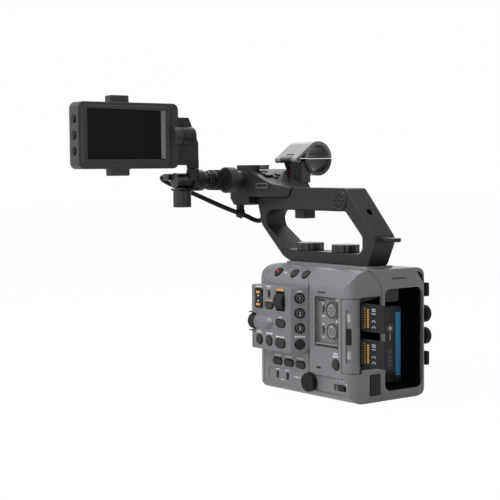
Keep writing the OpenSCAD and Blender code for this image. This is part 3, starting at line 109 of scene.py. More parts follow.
class Graph:
    def __init__(self, tree):
        self.tree = tree

    def plug(self, socket, value):
        if isinstance(value, Sock):
            self.tree.links.new(value.out, socket)
        else:
            socket.default_value = value

    def node(self, kind, settings=None, inputs=None, output=0):
        made = self.tree.nodes.new(kind)
        for key, value in (settings or {}).items():
            setattr(made, key, value)
        for key, value in (inputs or {}).items():
            self.plug(made.inputs[key], value)
        return Sock(self, made.outputs[output])

    def larger(self, first, second):
        return self.node("ShaderNodeMath", {"operation": "MAXIMUM"}, {0: first, 1: second})

    def seenDirectly(self):  # 1 for what the camera, a mirror or a window shows
        camera, glossy, through = (
            self.node("ShaderNodeLightPath", output=ray)
            for ray in ("Is Camera Ray", "Is Glossy Ray", "Is Transmission Ray"))
        return self.larger(self.larger(camera, glossy), through)


class Finish(Graph):
    def __init__(self, name):
        self.material = bpy.data.materials.new(name)
        self.material.use_nodes = True
        super().__init__(self.material.node_tree)
        self.skin = self.tree.nodes["Principled BSDF"]

    def feed(self, name, value):
        self.plug(self.skin.inputs[name], value)

    def blend(self, factor, first, second):  # sockets 6 and 7 and output 2 carry the colours
        return self.node("ShaderNodeMix", {"data_type": "RGBA"}, {0: factor, 6: first, 7: second}, 2)

    def place(self, stretch=(1, 1, 1)):
        where = self.node("ShaderNodeTexCoord", output="Object")
        if stretch == (1, 1, 1):
            return where
        return self.node("ShaderNodeMapping", inputs={"Vector": where, "Scale": stretch})

    def noise(self, where, scale, detail=2.0, rough=0.5):
        return self.node("ShaderNodeTexNoise", inputs={
            "Vector": where, "Scale": scale, "Detail": detail, "Roughness": rough})


# What a finish has where its own row says nothing else
plainLook = {
    "metal": 0.0, "shine": 0.3, "bump": 0.3, "depth": 0.00004, "stretch": (1, 1, 1), "cloud": 40,
    "spread": 0.12, "roughSpread": 0.15, "speckle": 0.0, "coat": 0.0, "coatRough": 0.08,
}
# The fine grain of a coat, and the pale specks on its peaks
grainShape = {"detail": 3.0, "rough": 0.6, "middle": 0.5, "speckAbove": 0.56, "speckGain": 2.2}


def shade(colour, share):
    return tuple(min(1, c * share) for c in colour) + (1,)


def coated(name, ownLook):  # grain, slow cloud of tone, specks and bump
    look = {**plainLook, **ownLook}
    colour, spread = look["colour"], look["spread"]
    f = Finish(name)
    grain = f.noise(f.place(look["stretch"]), look["grain"], grainShape["detail"], grainShape["rough"])
    cloud = f.noise(f.place(), look["cloud"])
    mixed = f.blend(cloud, shade(colour, 1 - spread), shade(colour, 1 + spread))
    if look["speckle"]:
        specks = (grain > grainShape["speckAbove"]) * look["speckle"]
        mixed = f.blend(specks, mixed, shade(colour, grainShape["speckGain"]))
    f.feed("Base Color", mixed)
    f.feed("Roughness", look["rough"] + (grain - grainShape["middle"]) * look["roughSpread"])
    f.feed("Metallic", look["metal"])
    f.feed("Specular IOR Level", look["shine"])
    if look["coat"]:
        f.feed("Coat Weight", look["coat"])
        f.feed("Coat Roughness", look["coatRough"])
    f.feed("Normal", f.node("ShaderNodeBump", inputs={
        "Strength": look["bump"], "Distance": look["depth"], "Height": grain}))
    return f.material


looks = {
    # paints of the casing, the handle and the monitor
    "casingPaint": {"colour": (0.150, 0.153, 0.160), "rough": 0.40, "metal": 0.25, "grain": 2600,
                    "bump": 0.35, "speckle": 0.12, "cloud": 30, "spread": 0.05},
    "blockPaint": {"colour": (0.135, 0.138, 0.145), "rough": 0.42, "metal": 0.25, "grain": 2600,
                   "bump": 0.35, "speckle": 0.12, "cloud": 30, "spread": 0.05},
    "handleBlack": {"colour": (0.016, 0.0165, 0.018), "rough": 0.42, "grain": 3000, "bump": 0.4,
                    "speckle": 0.12, "cloud": 25, "spread": 0.10, "shine": 0.2},
    "monitorShell": {"colour": (0.034, 0.035, 0.038), "rough": 0.42, "grain": 3000, "bump": 0.4,
                     "speckle": 0.12, "cloud": 25, "spread": 0.10, "shine": 0.2},
    "lidGrey": {"colour": (0.165, 0.167, 0.173), "rough": 0.40, "metal": 0.15, "grain": 3000,
                "bump": 0.3, "cloud": 25},
    # painted highlight: the monitor's bevel as lit, much paler than its dark shell
    "paintedBevelHighlight": {"colour": (0.16, 0.16, 0.165), "rough": 0.5, "grain": 2600, "bump": 0.4,
                  "speckle": 0.5},
    # plastics and rubber
    "satinBlack": {"colour": (0.012, 0.012, 0.013), "rough": 0.30, "grain": 3200, "bump": 0.3,
                   "cloud": 30, "shine": 0.4},
    "mouldedBlack": {"colour": (0.007, 0.007, 0.0075), "rough": 0.48, "grain": 2400, "bump": 0.35,
                     "shine": 0.2},
    "bayBlack": {"colour": (0.003, 0.003, 0.0032), "rough": 0.6, "grain": 1800, "bump": 0.4,
                 "shine": 0.08},
    "keyGrey": {"colour": (0.020, 0.0205, 0.022), "rough": 0.5, "grain": 2800, "bump": 0.25,
                "shine": 0.2},
    "keyBlack": {"colour": (0.006, 0.006, 0.0065), "rough": 0.42, "grain": 2600, "bump": 0.25,
                 "shine": 0.2},
    "dialGrey": {"colour": (0.120, 0.123, 0.130), "rough": 0.45, "metal": 0.2, "grain": 2600,
                 "bump": 0.3, "shine": 0.2},
    "rubber": {"colour": (0.008, 0.008, 0.0085), "rough": 0.68, "grain": 2200, "bump": 0.45,
               "shine": 0.15},
    "cardShell": {"colour": (0.012, 0.0125, 0.014), "rough": 0.45, "grain": 3000, "bump": 0.25,
                  "shine": 0.15},
    "packShell": {"colour": (0.052, 0.054, 0.060), "rough": 0.5, "grain": 2600, "bump": 0.3,
                  "shine": 0.15},
    "board": {"colour": (0.02, 0.11, 0.05), "rough": 0.45, "grain": 600, "bump": 0.2},
    # metals and glass
    "steel": {"colour": (0.42, 0.42, 0.43), "rough": 0.28, "metal": 1.0, "grain": 900,
              "bump": 0.15, "depth": 0.00001, "stretch": (1, 8, 1)},
    "darkSteel": {"colour": (0.10, 0.10, 0.105), "rough": 0.35, "metal": 0.9, "grain": 1200,
                  "bump": 0.15},
    "brushed": {"colour": (0.34, 0.345, 0.35), "rough": 0.34, "metal": 0.8, "grain": 900,
                "bump": 0.15, "depth": 0.00001, "stretch": (1, 1, 8)},
    "gold": {"colour": (0.75, 0.45, 0.10), "rough": 0.3, "metal": 1.0, "grain": 900, "bump": 0.1},
    "glass": {"colour": (0.005, 0.005, 0.0055), "rough": 0.16, "grain": 200, "bump": 0.02,
              "shine": 0.05},
    "sensorGlass": {"colour": (0.010, 0.016, 0.022), "rough": 0.08, "grain": 200, "bump": 0.02,
                    "coat": 1.0, "coatRough": 0.03},
    # printed marks and dark lines
    "stripeBlue": {"colour": (0.07, 0.36, 0.62), "rough": 0.4, "grain": 1500, "bump": 0.1},
    "markWhite": {"colour": (0.62, 0.63, 0.65), "rough": 0.5, "grain": 1500, "bump": 0.1},
    "markPale": {"colour": (0.30, 0.33, 0.37), "rough": 0.5, "grain": 1500, "bump": 0.1},
    "markOrange": {"colour": (0.55, 0.27, 0.05), "rough": 0.5, "grain": 1500, "bump": 0.1},
    "markRed": {"colour": (0.35, 0.018, 0.012), "rough": 0.4, "grain": 1500, "bump": 0.1},
    "grooveDark": {"colour": (0.006, 0.006, 0.006), "rough": 0.7, "grain": 1500, "bump": 0.2},
}
finishes = {name: coated(name, look) for name, look in looks.items()}

# The clear lid over the audio dials, with a faint uneven haze
coverLook = {
    "dark": (0.40, 0.405, 0.41, 1), "light": (0.50, 0.505, 0.51, 1), "cloud": 60, "rough": 0.16,
    "roughSpread": 0.08, "grain": 900, "shine": 0.1, "alpha": 0.03, "alphaSpread": 0.02, "haze": 25,
}


def clearCover(look):
    f = Finish("clearCover")
    where = f.place()
    f.feed("Base Color", f.blend(f.noise(where, look["cloud"]), look["dark"], look["light"]))
    f.feed("Roughness", look["rough"] + f.noise(where, look["grain"]) * look["roughSpread"])
    f.feed("Specular IOR Level", look["shine"])
    f.feed("Alpha", look["alpha"] + f.noise(where, look["haze"]) * look["alphaSpread"])
    return f.material


finishes["clearCover"] = clearCover(coverLook)
print("finishes made:", len(finishes))

# Angles in degrees, mergeWithin in metres. A bevelled piece is rounded at its edges above
# roundAbove, and any other piece stays crisp at those above crispAbove
edgeWork = {"steps": 2, "roundAbove": 30, "crispAbove": 35, "flatWithin": 0.6, "mergeWithin": 2e-6}


def piece(name, bm, finish, body, bevel=0.0, stands=(), flip=False):
    if flip:
        bmesh.ops.recalc_face_normals(bm, faces=bm.faces)
    mesh = bpy.data.meshes.new(name)
    bm.to_mesh(mesh)
    bm.free()
    obj = bpy.data.objects.new(name, mesh)
    scene.collection.objects.link(obj)
    mesh.materials.append(finishes[finish])
    mesh.shade_smooth()
    if bevel:
        rounder = obj.modifiers.new("edges", "BEVEL")
        rounder.width, rounder.segments = bevel * mm, edgeWork["steps"]
        rounder.limit_method = "ANGLE"
        rounder.angle_limit = math.radians(edgeWork["roundAbove"])
        rounder.use_clamp_overlap = False
        evener = obj.modifiers.new("normals", "WEIGHTED_NORMAL")
        evener.keep_sharp = True
    else:
        mesh.set_sharp_from_angle(angle=math.radians(edgeWork["crispAbove"]))
    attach(obj, body)
    if stands:
        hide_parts(*stands)
    return obj


def fromNode(node):
    bm = bmesh.new()
    bm.from_mesh(frame["nodes"][node].data)
    bmesh.ops.remove_doubles(bm, verts=bm.verts, dist=edgeWork["mergeWithin"])
    bmesh.ops.dissolve_limit(bm, angle_limit=math.radians(edgeWork["flatWithin"]),
                             verts=bm.verts, edges=bm.edges)
    return bm


def camel(node):
    first, *rest = node.split("_")
    return first + "".join(word.capitalize() for word in rest)


# Each node's finish, and how far its edges are rounded, in millimetres
nodeLooks = {
    "left_shell": ("casingPaint", 0.5), "top_shell": ("casingPaint", 0.5),
    "rear_frame": ("casingPaint", 0.9), "front_plate": ("casingPaint", 0.6),
    "bottom_plate": ("casingPaint", 0.4), "media_door": ("casingPaint", 0.5),
    "control_block": ("blockPaint", 0.8), "bay_liner": ("bayBlack", 0.3),
    "lens_mount": ("steel", 0.35), "lens_release": ("mouldedBlack", 0.4),
    "sensor_unit": ("sensorGlass", 0.2), "main_board": ("board", 0.0),
    "fan_rotor": ("mouldedBlack", 0.0), "slot_unit": ("mouldedBlack", 0.2),
    "card_a": ("cardShell", 0.18), "card_b": ("cardShell", 0.18),
    "door_slider": ("keyBlack", 0.35), "battery": ("packShell", 0.7),
    "release_lever": ("mouldedBlack", 0.5), "nd_wheel": ("mouldedBlack", 0.2),
    "function_dial": ("mouldedBlack", 0.15), "nd_rocker": ("keyBlack", 0.5),
    "block_keys": ("keyGrey", 0.3), "assign_1": ("keyBlack", 0.3),
    "assign_2": ("keyBlack", 0.3), "assign_3": ("keyBlack", 0.3),
    "display_button": ("keyBlack", 0.3), "side_keys": ("keyGrey", 0.3),
    "slide_switches": ("keyBlack", 0.25), "power_switch": ("keyBlack", 0.35),
    "audio_dial_1": ("dialGrey", 0.3), "audio_dial_2": ("dialGrey", 0.3),
    "audio_cover": ("clearCover", 0.15), "rec_button": ("keyBlack", 0.3),
    "top_keys": ("keyGrey", 0.3), "port_covers": ("rubber", 0.7),
    "grip_rosette": ("steel", 0.08), "casing_screws": ("darkSteel", 0.1),
    "handle_frame": ("handleBlack", 0.9), "handle_screw_front": ("satinBlack", 0.4),
    "handle_screw_rear": ("satinBlack", 0.4), "handle_head": ("handleBlack", 0.8),
    "handle_rec_button": ("keyBlack", 0.3), "zoom_rocker": ("keyBlack", 0.5),
    "handle_keys": ("keyBlack", 0.3), "accessory_shoe": ("darkSteel", 0.2),
    "audio_sockets": ("darkSteel", 0.3), "mic_bracket": ("satinBlack", 0.4),
    "mic_lid": ("lidGrey", 0.4), "arm_base": ("satinBlack", 0.7),
    "arm_rod": ("satinBlack", 0.6), "base_knob": ("satinBlack", 0.15),
    "rod_clamp": ("handleBlack", 0.6), "clamp_knob": ("satinBlack", 0.4),
    "monitor_bracket": ("handleBlack", 0.7), "monitor_case": ("monitorShell", 0.9),
    "monitor_screen": ("glass", 0.15), "monitor_keys": ("keyBlack", 0.3),
    "lcd_plug": ("mouldedBlack", 0.5),
}
# Boxes whose rims stay crisp: the vents on the right and the speaker's plate on the handle
crispRims = {
    "left_shell": [((40, -50, 5), (50, 60, 62))],
    "top_shell": [((40, -50, 5), (50, 60, 62))],
    "handle_frame": [((-15, -26, 163), (-12.5, 0, 188))],
}


def weighEdges(bm, crisp):
    weight = bm.edges.layers.float.new("bevel_weight_edge")
    for edge in bm.edges:
        if not edge.is_manifold or edge.calc_face_angle(0) < math.radians(edgeWork["roundAbove"]):
            continue
        middle = (edge.verts[0].co + edge.verts[1].co) / 2 / mm
        if not any(all(low[k] < middle[k] < high[k] for k in range(3)) for low, high in crisp):
            edge[weight] = 1.0


for node, (finish, bevel) in nodeLooks.items():
    shell = fromNode(node)
    if node in crispRims:
        weighEdges(shell, crispRims[node])
    skin = piece(camel(node) + "Skin", shell, finish, bodyOf[node], bevel, stands=(node,))
    if node in crispRims:
        skin.modifiers["edges"].limit_method = "WEIGHT"
print("casing, handle, arm and monitor finished:", len(nodeLooks))

# Monitor cable: from the arm's gland beside the rod clamp to the plug on the handle
cable = {
    "radius": 2.3, "sides": 16, "parts": 5,
    "route": [
        (-85, 158.3, 198), (-85, 164, 198), (-84, 169, 197.2), (-80, 173, 195.2), (-74, 173.5, 192.2),
        (-67, 170, 188.6), (-59, 163.5, 184.4), (-50, 156, 179.3), (-41, 148.6, 173.8),
        (-32, 141.4, 168.6), (-24, 135.4, 164.4), (-17, 131.2, 161.2), (-10, 129.4, 158.4),
        (-3.5, 129.6, 155.6), (0.8, 128.4, 154), (2.6, 125.2, 153.9), (2.6, 120.6, 155.3)],
}


def eased(points, parts):  # a smooth curve through the points, in so many parts each
    out = []
    for i in range(len(points) - 1):
        before, here = points[max(i - 1, 0)], points[i]
        after, later = points[i + 1], points[min(i + 2, len(points) - 1)]
        for k in range(parts):
            t = k / parts
            out.append(0.5 * (2 * here + (after - before) * t
                              + (2 * before - 5 * here + 4 * after - later) * t * t
                              + (3 * here - before - 3 * after + later) * t ** 3))
    return out + [points[-1]]


def tube(path, radius, sides):
    bm = bmesh.new()
    turns = [2 * math.pi * k / sides for k in range(sides)]
    rings, up = [], Vector((0, 0, 1))
    for i, here in enumerate(path):
        along = (path[min(i + 1, len(path) - 1)] - path[max(i - 1, 0)]).normalized()
        aside = along.cross(up).normalized()
        up = aside.cross(along).normalized()
        rings.append([bm.verts.new(here + radius * (math.cos(a) * aside + math.sin(a) * up))
                      for a in turns])
    for first, second in zip(rings, rings[1:]):
        for k in range(sides):
            m = (k + 1) % sides
            bm.faces.new((first[k], first[m], second[m], second[k]))
    bm.faces.new(reversed(rings[0]))
    bm.faces.new(rings[-1])
    return bm


def layCable(spec):
    path = eased([Vector(p) * mm for p in spec["route"]], spec["parts"])
    length = sum((b - a).length for a, b in zip(path, path[1:]))
    cord = piece("monitorCable", tube(path, spec["radius"] * mm, spec["sides"]), "rubber", "casing",
                 stands=("lcd_cable",), flip=True)
    return length


print("cable laid:", round(layCable(cable), 4))

# Right and up along each face that carries a mark
faces = {
    "left": ((0, -1, 0), (0, 0, 1)),
    "rear": ((1, 0, 0), (0, 0, 1)),
    "facet": ((0.804, -0.595, 0), (0, 0, 1)),  # the slanted face with the numbered keys
    "deck": ((1, 0, 0), (0, 0.927, 0.375)),  # the slope under the handle's record key
    "edge": ((0, -1, 0), (0.7071, 0, 0.7071)),  # the casing's upper left slope
    "groove": ((0.59, -0.807, 0), (0, 0, 1)),  # the media door's groove
    "lid": ((0, -1, 0), (0.806, 0, 0.592)),  # the microphone lid
}
# How marks are made, in millimetres: how far they stand out and sink in, and their corners
markWork = {
    "proud": 0.12, "sunk": 0.25, "corner": 0.15, "barSteps": 5, "discSteps": 8, "ringSteps": 6,
    "wedgeTurns": (0, 2.3, 3.983), "smallest": 0.01, "closest": 1e-4, "letter": 0.62, "wider": 0.16,
}


def outward(face):
    return Vector(faces[face][0]).cross(Vector(faces[face][1]))


def bar(face, at, size, **more):
    return {"kind": "bar", "face": face, "at": at, "size": size, **more}


def disc(face, at, radius, **more):
    return {"kind": "disc", "face": face, "at": at, "size": radius, **more}


def wedge(face, at, size, turn=90):
    return {"kind": "wedge", "face": face, "at": at, "size": size, "turn": turn}


def ring(face, at, size, corner, line, **more):
    return {"kind": "ring", "face": face, "at": at, "size": size, "round": corner, "line": line, **more}


def legend(face, at, width, height, letters):  # short plain bars in place of a word
    right = Vector(faces[face][0])
    step = width / letters
    return [bar(face, tuple(Vector(at) + right * (step * (k + 0.5) - width / 2)),
                (step * (markWork["letter"] + markWork["wider"] * ((3 * k) % 2)), height))
            for k in range(letters)]


def outline(w, h, r, steps):  # a rectangle with rounded corners
    r = min(r, w / 2, h / 2)
    if r <= 0:
        return [(w / 2, h / 2), (-w / 2, h / 2), (-w / 2, -h / 2), (w / 2, -h / 2)]
    points = []
    for corner, (sx, sy) in enumerate(((1, 1), (-1, 1), (-1, -1), (1, -1))):
        for step in range(steps + 1):
            a = math.radians(90 * (corner + step / steps))
            spot = (sx * (w / 2 - r) + r * math.cos(a), sy * (h / 2 - r) + r * math.sin(a))
            if not points or math.dist(points[-1], spot) > markWork["closest"]:
                points.append(spot)
    if math.dist(points[0], points[-1]) < markWork["closest"]:
        points.pop()
    return points


def lift(bm, mark, points):  # the outline twice, sunk in the face and proud of it
    right, up = (Vector(v) for v in faces[mark["face"]])
    out = right.cross(up)
    turned = [Vector(mark["at"]) + right * x + up * y for x, y in points]
    levels = (-mark.get("sunk", markWork["sunk"]), mark.get("proud", markWork["proud"]))
    return [[bm.verts.new((p + out * level) * mm) for p in turned] for level in levels]


def closeSlab(bm, low, high):
    bm.faces.new(high)
    bm.faces.new(reversed(low))
    for k in range(len(low)):
        m = (k + 1) % len(low)
        bm.faces.new((low[k], low[m], high[m], high[k]))


def markOutline(mark):
    if mark["kind"] == "disc":
        return outline(2 * mark["size"], 2 * mark["size"], mark["size"], markWork["discSteps"])
    if mark["kind"] == "wedge":
        size, turn = mark["size"], math.radians(mark["turn"])
        return [(size * math.cos(turn + a), size * math.sin(turn + a)) for a in markWork["wedgeTurns"]]
    w, h = mark["size"]
    lean = math.radians(mark.get("lean", 0))
    points = outline(w, h, mark.get("round", min(w, h) * markWork["corner"]), markWork["barSteps"])
    return [(x * math.cos(lean) - y * math.sin(lean), x * math.sin(lean) + y * math.cos(lean))
            for x, y in points]


def addRing(bm, mark):
    w, h = mark["size"]
    r, t = mark["round"], mark["line"]
    steps = markWork["ringSteps"]
    a, b = lift(bm, mark, outline(w, h, r, steps))
    c, d = lift(bm, mark, outline(w - 2 * t, h - 2 * t, max(r - t, markWork["smallest"]), steps))
    n = min(len(a), len(c))
    for k in range(n):
        m = (k + 1) % n
        bm.faces.new((b[k], b[m], d[m], d[k]))
        bm.faces.new((a[m], a[k], c[k], c[m]))
        bm.faces.new((a[k], a[m], b[m], b[k]))
        bm.faces.new((c[m], c[k], d[k], d[m]))


def marks(name, finish, body, items):
    bm = bmesh.new()
    for item in items:
        for mark in item if isinstance(item, list) else [item]:
            if mark["kind"] == "ring":
                addRing(bm, mark)
            else:
                closeSlab(bm, *lift(bm, mark, markOutline(mark)))
    piece(name, bm, finish, body, flip=True)


# Where the left side's faces lie in x: the wall, the audio well, the key block, the shallow
# recess with two slide switches, and the low channel with the power switch
wall, well, block, recess, switchPlate = -46.5, -41.9, -60.0, -45.5, -44.9
casingMarks = [  # place, width, height and number of bars for each legend
    legend("left", (block, 46.2, 97.4), 9.5, 1.1, 4),
    legend("left", (block, 31.4, 98.2), 7.5, 0.8, 3),
    wedge("left", (block, 31.0, 96.9), 0.9),
    legend("left", (block, 15.0, 71.2), 4.4, 1.1, 2),
    legend("left", (block, 45.9, 55.4), 9.0, 0.9, 4),
    legend("left", (block, 45.9, 57.2), 6.0, 0.7, 3),
    legend("left", (block, 31.0, 55.4), 10.5, 1.2, 4),
    legend("left", (block, 15.0, 53.6), 12.5, 1.2, 5),
    legend("facet", (-53.25, -5.0, 95.6), 5.4, 1.3, 3),
    legend("facet", (-53.25, -5.0, 55.2), 9.6, 1.5, 6),
    legend("left", (wall, 36.1, 33.8), 9.0, 0.9, 4),
    legend("left", (wall, 19.6, 33.8), 10.0, 0.9, 4),
    legend("left", (wall, 3.0, 33.8), 10.0, 0.9, 4),
    legend("left", (wall, -45.6, 43.4), 6.0, 1.2, 3),
    legend("left", (wall, -45.6, 41.0), 8.0, 1.2, 4),
    legend("left", (recess, 37.4, 20.6), 6.0, 0.8, 3),
    legend("left", (recess, 22.9, 20.6), 6.0, 0.8, 3),
    legend("left", (recess, 30.1, 11.6), 5.0, 0.8, 3),
    legend("left", (recess, 9.0, 16.4), 9.0, 0.9, 4),
    [disc("left", (switchPlate, y, 19.9), 0.42) for y in (-45.0, -49.4, -53.8)],
    bar("left", (switchPlate, -57.6, 17.0), (0.7, 2.2)),
]
for dialY, dialZ in ((-37.4, 80.5), (-37.7, 61.8)):
    casingMarks += [
        disc("left", (well, dialY + 0.4, dialZ + 8.9), 0.45),
        bar("left", (well, dialY - 6.0, dialZ + 9.2), (4.6, 2.6)),
        legend("left", (well, -24.0, dialZ + 5.6), 3.6, 1.1, 2),
        legend("left", (well, -24.0, dialZ - 6.0), 3.6, 1.1, 2),
        wedge("left", (well, -27.6, dialZ - 0.6), 0.7, turn=180),
    ]
marks("casingMarks", "markWhite", "casing", casingMarks)

marks("orangeMarks", "markOrange", "casing", [
    bar("left", (block, 14.7, 96.4), (9.6, 1.6), round=0.5),
    wedge("left", (block, 13.2, 98.3), 1.1),
    legend("left", (block, 31.2, 85.4), 9.4, 0.9, 5)])

# The filter rocker's two orange bars and two white dots
rocker = {
    "middle": 46.2, "barX": -60.95, "bars": (92.2, 81.0), "barSize": (5.6, 1.9), "barSunk": 1.2,
    "dotX": -60.6, "dots": (89.2, 84.0), "dotRadius": 0.85, "dotSunk": 1.4,
}
marks("rockerBars", "markOrange", "nd_rocker", [
    bar("left", (rocker["barX"], rocker["middle"], z), rocker["barSize"], sunk=rocker["barSunk"])
    for z in rocker["bars"]])
marks("rockerDots", "markWhite", "nd_rocker", [
    disc("left", (rocker["dotX"], rocker["middle"], z), rocker["dotRadius"], sunk=rocker["dotSunk"])
    for z in rocker["dots"]])
print("marks on the left side laid:", len(casingMarks))

# The slanted keys' plain numbers, in millimetres, and the rings round them
number = {"size": 3.8, "thick": 0.1, "proud": 0.05, "curve": 3, "frontWithin": 1e-5}
keyRing = {"size": 6.0, "line": 0.5, "proud": 0.1}


def keyFront(node, out):  # the middle of the node's foremost points, in metres
    spots = [v.co for v in frame["nodes"][node].data.vertices]
    reach = max(p.dot(out) for p in spots)
    front = [p for p in spots if p.dot(out) > reach - number["frontWithin"]]
    return sum(front, Vector()) / len(front)


def addNumber(text, node, face):
    right, up = (Vector(v).normalized() for v in faces[face])
    out = right.cross(up)
    curve = bpy.data.curves.new("number" + text, "FONT")
    curve.body, curve.size, curve.extrude = text, number["size"] * mm, number["thick"] * mm
    curve.align_x, curve.align_y, curve.resolution_u = "CENTER", "CENTER", number["curve"]
    holder = bpy.data.objects.new("numberShape", curve)
    shape = bpy.data.meshes.new_from_object(holder)
    bpy.data.objects.remove(holder)
    bm = bmesh.new()
    bm.from_mesh(shape)
    bpy.data.meshes.remove(shape)
    middle = sum((v.co for v in bm.verts), Vector()) / len(bm.verts)
    turn = Matrix((right, up, out)).transposed().to_4x4()
    at = keyFront(node, out) + out * number["proud"] * mm
    place = Matrix.Translation(at) @ turn @ Matrix.Translation(-middle)
    bmesh.ops.transform(bm, matrix=place, verts=bm.verts)
    piece("number" + text + "Mark", bm, "markWhite", bodyOf[node])


numberedKeys = {"1": "assign_1", "2": "assign_2", "3": "assign_3"}
for text, node in numberedKeys.items():
    addNumber(text, node, "facet")
for node in numberedKeys.values():
    marks(camel(node) + "Ring", "dialGrey", node, [
        ring("facet", tuple(keyFront(node, outward("facet")) / mm), (keyRing["size"], keyRing["size"]),
             keyRing["size"] / 2, keyRing["line"], proud=keyRing["proud"])])

# The audio dials' ticks, pointers and dark rims
dial = {
    "tickRadius": 0.3, "tickRing": 4.7, "tickTurns": range(-60, 241, 33), "pointer": 1.0,
    "pointerUp": 4.4, "rim": 14.4, "rimLine": 1.3, "rimProud": 0.2,
}
for node in ("audio_dial_1", "audio_dial_2"):
    spot = keyFront(node, Vector((-1, 0, 0))) / mm
    ticks = [disc("left", (spot.x, spot.y + dial["tickRing"] * math.cos(math.radians(a)),
                           spot.z + dial["tickRing"] * math.sin(math.radians(a))), dial["tickRadius"])
             for a in dial["tickTurns"]]
    pointer = wedge("left", (spot.x, spot.y, spot.z + dial["pointerUp"]), dial["pointer"])
    marks(camel(node) + "Ticks", "markWhite", node, ticks + [pointer])
    marks(camel(node) + "Rim", "keyBlack", node, [
        ring("left", tuple(spot), (dial["rim"], dial["rim"]), dial["rim"] / 2, dial["rimLine"],
             proud=dial["rimProud"])])

# Audio panel: frame line, latch slits on the cover and above it, hinge bar at its foot
audioPanel = {
    "lineAt": (-46.4, -33.3, 70.3), "lineSize": (30.4, 42.4), "corner": 2.4, "line": 0.35,
    "proud": 0.08, "coverSlit": (-46.4, -27.4, 89.4), "wallSlit": (wall, -27.2, 96.1),
    "slitSize": (9.6, 1.3), "wallProud": 0.05, "hinge": (wall, -33.3, 47.0),
    "hingeSize": (31.0, 1.5), "hingeProud": 0.5,
}
marks("panelLines", "grooveDark", "audio_cover", [
    ring("left", audioPanel["lineAt"], audioPanel["lineSize"], audioPanel["corner"],
         audioPanel["line"], proud=audioPanel["proud"]),
    bar("left", audioPanel["coverSlit"], audioPanel["slitSize"], proud=audioPanel["proud"])])
marks("panelSlit", "grooveDark", "casing", [
    bar("left", audioPanel["wallSlit"], audioPanel["slitSize"], proud=audioPanel["wallProud"])])
marks("panelHinge", "casingPaint", "casing", [
    bar("left", audioPanel["hinge"], audioPanel["hingeSize"], proud=audioPanel["hingeProud"])])

# Memory cards: contacts in two columns, the bright strip, plain bars and arrowheads
card = {
    "side": -32.95, "middles": {"card_a": 76.2, "card_b": 45.5},
    "contactSize": (2.4, 1.4), "contactY": -68.4, "columnStep": 4.3, "top": 8.4, "topStep": 1.4,
    "pitch": 2.1, "contacts": 9,
    "stripY": -64.9, "stripSize": (1.6, 21.0), "stripCorner": 0.2,
    "printY": -80.0, "barSize": (4.8, 0.9), "bars": (8.0, 6.4, 4.0),
    "arrowSize": (2.8, 0.8), "arrowLean": 38, "arrowHalf": 1.3, "arrowDrop": 2.4, "arrowPitch": 5.0,
}
for node, middle in card["middles"].items():
    contacts = [
        bar("left", (card["side"], card["contactY"] - card["columnStep"] * column,
                     middle + card["top"] - card["topStep"] * column - card["pitch"] * k),
            card["contactSize"])
        for column in (0, 1) for k in range(card["contacts"] - column)]
    marks(camel(node) + "Contacts", "gold", node, contacts)
    marks(camel(node) + "Strip", "brushed", node, [
        bar("left", (card["side"], card["stripY"], middle), card["stripSize"], round=card["stripCorner"])])
    plainBars = [bar("left", (card["side"], card["printY"], middle + rise), card["barSize"])
                 for rise in card["bars"]]
    arrows = [
        bar("left", (card["side"], card["printY"] + side * card["arrowHalf"],
                     middle - card["arrowDrop"] - card["arrowPitch"] * k),
            card["arrowSize"], lean=side * card["arrowLean"])
        for k in (0, 1) for side in (-1, 1)]
    marks(camel(node) + "Print", "markPale", node, plainBars + arrows)

# Battery: blue stripe, check button in its circle, row of lamps, latch block
pack = {
    "back": -39.8, "middle": 23.8, "stripe": (33.3, 45.0), "stripeSize": (5.8, 58.0),
    "stripeCorner": 0.3, "check": 59.7, "checkRadius": 1.9, "circle": 7.4, "dash": 51.5,
    "dashSize": (1.4, 6.0), "line": 0.35, "lampRow": 31.6, "rowSize": (4.4, 19.0), "lamps": 4,
    "lowestLamp": 25.6, "lampPitch": 4, "lamp": 2.4, "lampLine": 0.3, "latch": (24.0, 15.0),
    "latchSize": (11.2, 8.6), "latchCorner": 0.8, "latchProud": 1.2,
}


def onPack(x, z):
    return (x, pack["back"], z)


marks("batteryStripe", "stripeBlue", "battery", [
    bar("rear", onPack(*pack["stripe"]), pack["stripeSize"], round=pack["stripeCorner"])])
marks("batteryDot", "markWhite", "battery", [
    disc("rear", onPack(pack["middle"], pack["check"]), pack["checkRadius"]),
    legend("rear", onPack(pack["middle"], pack["dash"]), *pack["dashSize"], 1)])
marks("batteryLines", "markPale", "battery", [
    ring("rear", onPack(pack["middle"], pack["check"]), (pack["circle"], pack["circle"]),
         pack["circle"] / 2, pack["line"]),
    ring("rear", onPack(pack["middle"], pack["lampRow"]), pack["rowSize"], pack["rowSize"][0] / 2,
         pack["line"]),
    [ring("rear", onPack(pack["middle"], pack["lowestLamp"] + pack["lampPitch"] * k),
          (pack["lamp"], pack["lamp"]), pack["lamp"] / 2, pack["lampLine"])
     for k in range(pack["lamps"])]])
marks("batteryLatch", "keyGrey", "battery", [
    bar("rear", onPack(*pack["latch"]), pack["latchSize"], round=pack["latchCorner"],
        proud=pack["latchProud"])])

# Battery bay: two contacts beside the pack's foot, and the flap at the mouth
bay = {
    "contacts": ((31.4, -41.2, 11.4), (34.6, -41.2, 11.4)), "contactSize": (1.1, 4.2),
    "contactProud": 0.3, "flap": (4.6, -60.6, 92.9), "flapSize": (20.0, 12.0), "flapCorner": 2.4,
    "flapDeep": 5.0,
}
marks("bayContacts", "steel", "casing", [
    bar("rear", at, bay["contactSize"], proud=bay["contactProud"]) for at in bay["contacts"]])
marks("bayFlap", "keyGrey", "casing", [
    bar("rear", bay["flap"], bay["flapSize"], round=bay["flapCorner"], proud=0.0,
        sunk=bay["flapDeep"])])
print("cards, battery and bay marked")

